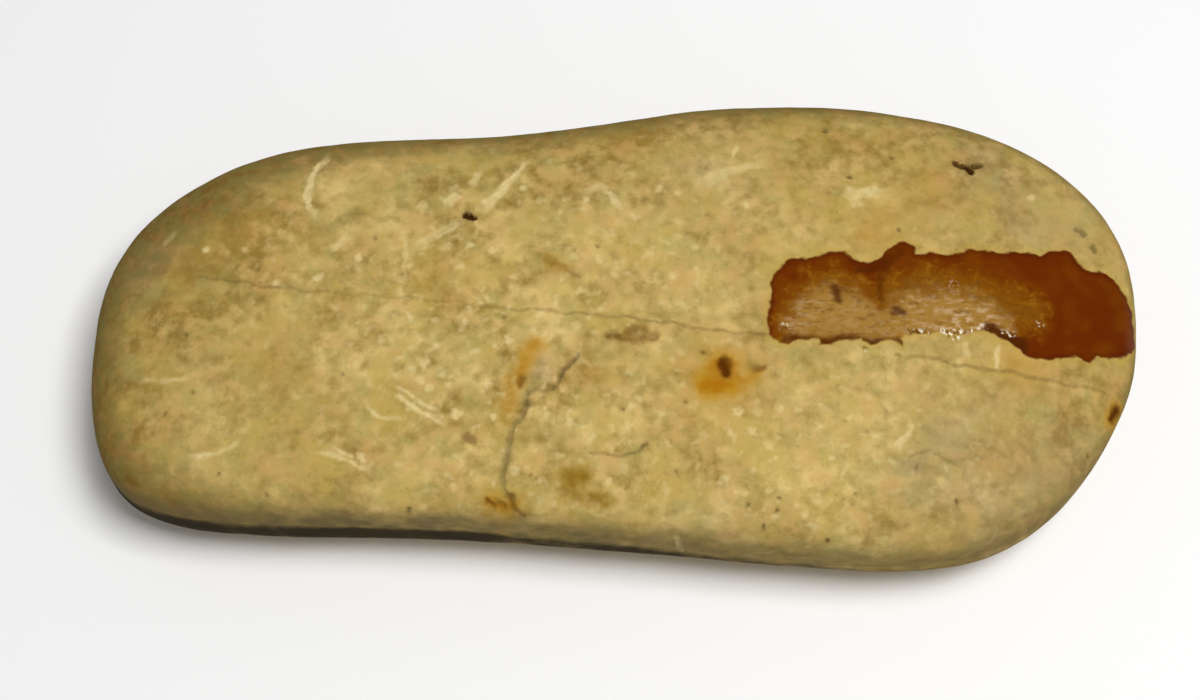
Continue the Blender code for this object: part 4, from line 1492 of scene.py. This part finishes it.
@dataclass(frozen=True)
class SideShading:
    """The painted shade of the steep sides, which also carries a dirt tint, and the painted shadow low on the
    near side, in millimetres.
    """

    # A turn in degrees anticlockwise from the wide end, the painted shadow's upper level and its strength,
    # which also makes the steep sides' painted shade stronger there.
    turns: tuple[tuple[float, float, float], ...] = (
        (0, 17, 0.3), (30, 17, 0.3), (60, 16, 0), (185, 18, 0), (200, 22, 0.6), (215, 24, 0.95),
        (250, 23.5, 0.95), (270, 22, 0.9), (285, 21, 0.7), (300, 19, 0.5), (320, 18, 0.4), (360, 17, 0.3),
    )
    fade: float = 5.5
    # The painted shadow thins out from the second of these levels down to the first.
    low_levels: Range = (4.0, 17.0)
    steep_strength: float = 0.28
    near_side_strength: float = 0.70
    # The upward part of the normal at which the steep sides' painted shade starts and ends, and over how much
    # it fades.
    upper_tilt: float = 0.60
    upper_fade: float = 0.7
    lower_tilt: float = -0.9
    lower_fade: float = 0.6

    def amounts(
        self, form: StoneForm, places: np.ndarray, normals: np.ndarray
    ) -> tuple[np.ndarray, np.ndarray]:
        """Work out the grime.

        Args:
            form: The stone's form.
            places: Places on the stone, in millimetres.
            normals: The surface's directions there.

        Returns:
            How much painted shade with a dirt tint the steep sides have at each place, and how much painted
            shadow the near side's foot has.
        """
        turns, levels, strengths = np.array(self.turns).T
        turn = form.turn(places)
        near_side = np.interp(turn, turns, strengths)
        tilt = normals[:, 2]
        steep = ease((self.upper_tilt - tilt) / self.upper_fade)
        steep *= ease((tilt - self.lower_tilt) / self.lower_fade)
        low, high = self.low_levels
        below_level = ease((np.interp(turn, turns, levels) - places[:, 2]) / self.fade)
        above_ground = ease((places[:, 2] - low) / (high - low))
        return steep * (self.steep_strength + self.near_side_strength * near_side), below_level * near_side * above_ground


FINE_MARKS = (Mark.CRACK, Mark.PIT, Mark.SCRATCH, Mark.SPECK, Mark.CHIP, Mark.VEIN, Mark.IRON, Mark.DRIP)
SMALLEST_MARKS = (Mark.CRACK, Mark.PIT, Mark.SPECK)


@dataclass(frozen=True)
class RiverStone:
    """The stone's fine mesh, with its marks sunk in and their distances stored for the finish."""

    form: StoneForm = StoneForm()
    varnish: VarnishStrip = VarnishStrip()
    hidden: HiddenMarks = HiddenMarks()
    rim_patina_and_shade: RimPatinaAndShade = RimPatinaAndShade()
    side_shading: SideShading = SideShading()
    weathering: Weathering = Weathering()
    finish: StoneFinish = StoneFinish()
    # How many strips the box is cut into along X, Y and Z.
    strips: tuple[int, int, int] = (172, 80, 34)
    # Marks are measured up to this distance outside them, in millimetres.
    known_reach: float = 2.0
    # These marks fade towards their ends, over this share of their length, but never quite away.
    fading_marks: tuple[Mark, ...] = (Mark.SCRATCH, Mark.OLIVE)
    fade_share: float = 0.3
    fade_start: float = 0.2
    # A dent starts outside its mark's edge, by this share of half its width.
    dent_overlap: float = 0.25
    # Tints come in over this height above the widest level, in millimetres.
    tint_fade: float = 6.0
    # How near to which marks edges longer than a length are split, in millimetres.
    refinements: tuple[tuple[float, float, tuple[Mark, ...]], ...] = (
        (1.2, 0.7, FINE_MARKS),
        (0.5, 0.36, FINE_MARKS),
        (0.2, 0.2, SMALLEST_MARKS),
    )

    def box_of_quads(self, bm: bmesh.types.BMesh) -> None:
        """Make the unit box and cut it into strips along each of its three directions."""
        bmesh.ops.create_cube(bm, size=2.0)
        for axis, strips in enumerate(self.strips):
            along = [edge for edge in bm.edges if abs((edge.verts[0].co - edge.verts[1].co)[axis]) > 1]
            bmesh.ops.subdivide_edges(bm, edges=along, cuts=strips - 1, use_grid_fill=True)

    def strokes_by_kind(self) -> list[tuple[Mark, Stroke]]:
        """Return every mark, on the top and on the hidden sides."""
        hidden = self.hidden.strokes(self.form)
        top = [(mark, stroke) for mark in Mark for stroke in TOP_MARKS[mark]]
        return top + [(mark, stroke) for mark in Mark for stroke in hidden.get(mark, [])]

    def reached(self, stroke: Stroke, places: np.ndarray, plan: np.ndarray) -> tuple[np.ndarray, ...]:
        """Find the places within a mark's known reach.

        Args:
            stroke: The mark.
            places: Places on the stone, in millimetres.
            plan: The same places in plan, wandered.

        Returns:
            Their row numbers, how far inside the mark each is, and the share of its length.
        """
        if len(stroke.path[0]) == 3:
            rows = np.flatnonzero(stroke.near(places, self.known_reach))
            return rows, *stroke.measure(places[rows])
        on_top = places[:, 2] > self.form.widest_level
        rows = np.flatnonzero(stroke.near(plan, self.known_reach) & on_top)
        return rows, *stroke.measure(plan[rows])

    def nearness(self, places: np.ndarray, marks: tuple[Mark, ...]) -> np.ndarray:
        """Measure how far places are from what needs a finer mesh.

        Of the marks on the hidden sides only the veins count, because they are the thinnest.

        Args:
            places: Places on the stone, in millimetres.
            marks: The kinds of mark that count.

        Returns:
            The distance to the nearest such mark or to the varnish's edge, in millimetres.
        """
        away = np.full(len(places), np.inf)
        plan = wandered(places[:, :2])
        for mark, stroke in self.strokes_by_kind():
            if mark in marks and (len(stroke.path[0]) == 2 or mark is Mark.VEIN):
                rows, inside, _ = self.reached(stroke, places, plan)
                away[rows] = np.minimum(away[rows], np.maximum(0.0, -inside))
        near = self.varnish.close_to(plan) & (places[:, 2] > self.form.widest_level)
        to_edge = np.abs(self.varnish.inside(self.varnish.edge, plan[near]))
        away[near] = np.minimum(away[near], to_edge)
        return away

    def refined(self, bm: bmesh.types.BMesh) -> None:
        """Split the edges near the marks, finer and finer towards them.

        Args:
            bm: The unit box, cut into quads.
        """
        scratch = bpy.data.meshes.new("scratch")
        for reach, length, marks in self.refinements:
            bm.to_mesh(scratch)
            places = self.form.push_out(vertex_places(scratch))
            ends = np.zeros(len(scratch.edges) * 2, int)
            scratch.edges.foreach_get("vertices", ends)
            start, finish = places[ends[::2]], places[ends[1::2]]
            lengths = np.linalg.norm(finish - start, axis=1)
            away = self.nearness((start + finish) / 2, marks)
            chosen = np.flatnonzero((away < reach) & (lengths > length))
            bm.edges.ensure_lookup_table()
            edges = [bm.edges[index] for index in chosen]
            bmesh.ops.subdivide_edges(bm, edges=edges, cuts=1, use_grid_fill=True)
            bmesh.ops.triangulate(bm, faces=[face for face in bm.faces if len(face.verts) > 4])
        bpy.data.meshes.remove(scratch)

    def store_marks(self, mesh: bpy.types.Mesh, places: np.ndarray) -> np.ndarray:
        """Store each kind of mark on the mesh.

        Args:
            mesh: The stone's mesh.
            places: Its vertex places, in millimetres.

        Returns:
            How deep the marks are sunk at each vertex, in millimetres.
        """
        sunk = np.zeros(len(places))
        plan = wandered(places[:, :2])
        inside = {mark: np.full(len(places), -self.known_reach) for mark in Mark}
        strength = {mark: np.zeros(len(places)) for mark in Mark}
        for mark, stroke in self.strokes_by_kind():
            rows, depth_in, share = self.reached(stroke, places, plan)
            shown = np.ones(len(rows))
            if mark in self.fading_marks and len(stroke.path) > 1:
                shown = ease(np.minimum(share, 1 - share) / self.fade_share + self.fade_start)
            better = depth_in > inside[mark][rows]
            inside[mark][rows[better]] = depth_in[better]
            strength[mark][rows[better]] = stroke.strength * shown[better]
            half = max(stroke.width, stroke.end_width) / 2
            dent = stroke.depth * ease(depth_in / half + self.dent_overlap)
            sunk[rows] = np.maximum(sunk[rows], dent)
        for mark in Mark:
            store(mesh, mark.value, inside[mark])
            store(mesh, mark.strength_name, strength[mark])
        return sunk

    def store_tints(self, mesh: bpy.types.Mesh, places: np.ndarray) -> None:
        """Store the soft changes of colour, which fade out down the sides.

        Args:
            mesh: The stone's mesh.
            places: Its vertex places, in millimetres.
        """
        on_top = ease((places[:, 2] - self.form.widest_level) / self.tint_fade)
        for tint, soft_spots in TOP_TINTS.items():
            amount = np.zeros(len(places))
            for x, y, reach, strength in soft_spots:
                away = (places[:, 0] - x) ** 2 + (places[:, 1] - y) ** 2
                amount += strength * np.exp(-away / (2 * reach**2))
            store(mesh, tint.value, amount * on_top)

    def store_varnish(self, mesh: bpy.types.Mesh, places: np.ndarray) -> None:
        """Store how far inside the varnish strip, its thinner part and its worn heart each vertex is.

        Args:
            mesh: The stone's mesh.
            places: Its vertex places, in millimetres.
        """
        strip = self.varnish
        plan = wandered(places[:, :2])
        far = strip.greatest_distance
        rings = {Cover.VARNISH: strip.edge, Cover.AMBER: strip.amber, Cover.HEART: strip.heart}
        for cover, ring in rings.items():
            inside = hold_in(strip.inside(ring, plan), -far, far)
            store(mesh, cover.value, np.where(places[:, 2] > self.form.widest_level, inside, -far))

    def marked(self, mesh: bpy.types.Mesh, places: np.ndarray) -> None:
        """Store what the finish reads and sink the marks in.

        Args:
            mesh: The stone's mesh in millimetres, which is in metres afterwards.
            places: Its vertex places, in millimetres.
        """
        normals = vertex_normals(mesh)
        sunk = self.store_marks(mesh, places)
        self.store_tints(mesh, places)
        self.store_varnish(mesh, places)
        store(mesh, Cover.RIM_PATINA_AND_SHADE.value, self.rim_patina_and_shade.amount(self.form, places))
        # The steep sides get painted shade with a dirt tint, and the near side's foot gets a painted shadow.
        wall_dirt_and_shade, foot_shadow = self.side_shading.amounts(self.form, places, normals)
        store(mesh, Cover.WALL.value, wall_dirt_and_shade)
        store(mesh, Cover.FOOT_SHADOW.value, foot_shadow)
        outward = mesh.attributes.new(OUTWARD, "FLOAT_VECTOR", "POINT")
        outward.data.foreach_set("vector", normals.astype(np.float32).ravel())
        set_places(mesh, (places - normals * sunk[:, None]) * MM)

    def build(self) -> bpy.types.Object:
        """Build, mark, weather and dress the stone.

        Returns:
            The finished stone, as a plain mesh at the origin.
        """
        bm = bmesh.new()
        self.box_of_quads(bm)
        self.refined(bm)
        mesh = bpy.data.meshes.new("river_stone_surface")
        bm.to_mesh(mesh)
        bm.free()
        places = self.form.push_out(vertex_places(mesh))
        set_places(mesh, places)
        places = self.form.with_broad_forms(places, vertex_normals(mesh))
        set_places(mesh, places)
        self.marked(mesh, places)
        stone = bpy.data.objects.new("river_stone_surface", mesh)
        bpy.context.scene.collection.objects.link(stone)
        stone = self.weathering.apply(stone, self.finish.material())
        stone.data.attributes.remove(stone.data.attributes[OUTWARD])
        low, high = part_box(NODE)
        set_places(stone.data, np.clip(vertex_places(stone.data), low, high))
        return stone


@dataclass(frozen=True)
class Studio:
    """A plain pale floor, soft light and the camera that looks down on the stone, in millimetres."""

    # The camera's height above the horizon, in degrees.
    elevation: float = 70.0
    lens: float = 70.0
    sensor: float = 36.0
    frame_width: float = 224.4
    aim: tuple[float, float, float] = (-3.07, -3.01, 18.5)
    key_place: tuple[float, float, float] = (215.0, -90.0, 915.0)
    key_size: float = 320.0
    key_power: float = 7.2  # in watts
    sky_strength: float = 0.30
    floor_size: float = 3000.0
    floor_colour: Colour = (0.95, 0.95, 0.95)
    floor_roughness: float = 0.9

    def camera(self) -> None:
        """Place the camera at its elevation, far enough back to frame the width."""
        data = bpy.data.cameras.new("camera")
        data.lens = self.lens
        data.sensor_width = self.sensor
        camera = bpy.data.objects.new("camera", data)
        tilt = math.radians(self.elevation)
        back = Vector((0.0, -math.cos(tilt), math.sin(tilt)))
        distance = self.frame_width * self.lens / self.sensor
        camera.location = (Vector(self.aim) + back * distance) * MM
        camera.rotation_euler = back.to_track_quat("Z", "Y").to_euler()
        bpy.context.scene.collection.objects.link(camera)
        bpy.context.scene.camera = camera

    def key_light(self) -> None:
        """Hang the softbox high above the stone, to its right and a little to the near side, facing it."""
        data = bpy.data.lights.new("softbox", "AREA")
        data.size = self.key_size * MM
        data.energy = self.key_power
        light = bpy.data.objects.new("softbox", data)
        light.location = Vector(self.key_place) * MM
        light.rotation_euler = light.location.to_track_quat("Z", "Y").to_euler()
        bpy.context.scene.collection.objects.link(light)

    def sky(self) -> None:
        """Fill the world with even white light."""
        world = bpy.data.worlds.new("studio")
        world.use_nodes = True
        bench = NodeBench(world.node_tree)
        shade = bench.add("ShaderNodeBackground", inputs={"Strength": self.sky_strength})
        bench.add("ShaderNodeOutputWorld", inputs={"Surface": bench.read(shade)})
        bpy.context.scene.world = world

    def floor(self) -> None:
        """Lay the pale floor under the stone."""
        half = self.floor_size / 2 * MM
        corners = [(-half, -half, 0), (half, -half, 0), (half, half, 0), (-half, half, 0)]
        mesh = bpy.data.meshes.new("floor")
        mesh.from_pydata(corners, [], [(0, 1, 2, 3)])
        material = bpy.data.materials.new("pale_floor")
        material.use_nodes = True
        bench = NodeBench(material.node_tree)
        shader = bench.add("ShaderNodeBsdfPrincipled", inputs={
            "Base Color": (*self.floor_colour, 1.0),
            "Roughness": self.floor_roughness,
        })
        bench.add("ShaderNodeOutputMaterial", inputs={"Surface": bench.read(shader)})
        mesh.materials.append(material)
        floor = bpy.data.objects.new("floor", mesh)
        bpy.context.scene.collection.objects.link(floor)

    def build(self) -> None:
        """Set up the floor, light, sky, camera and plain colour handling."""
        self.floor()
        self.key_light()
        self.sky()
        self.camera()
        bpy.context.scene.view_settings.view_transform = "Standard"


def main() -> None:
    """Build the stone and the studio."""
    logging.basicConfig(level=logging.INFO, format="%(name)s: %(message)s")
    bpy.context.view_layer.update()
    Studio().build()
    stone = RiverStone().build()
    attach(stone, BODY)
    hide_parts(NODE)
    triangles = sum(len(polygon.vertices) - 2 for polygon in stone.data.polygons)
    log.info("%s: %d vertices, %d triangles", stone.name, len(stone.data.vertices), triangles)


if __name__ == "__main__":
    main()
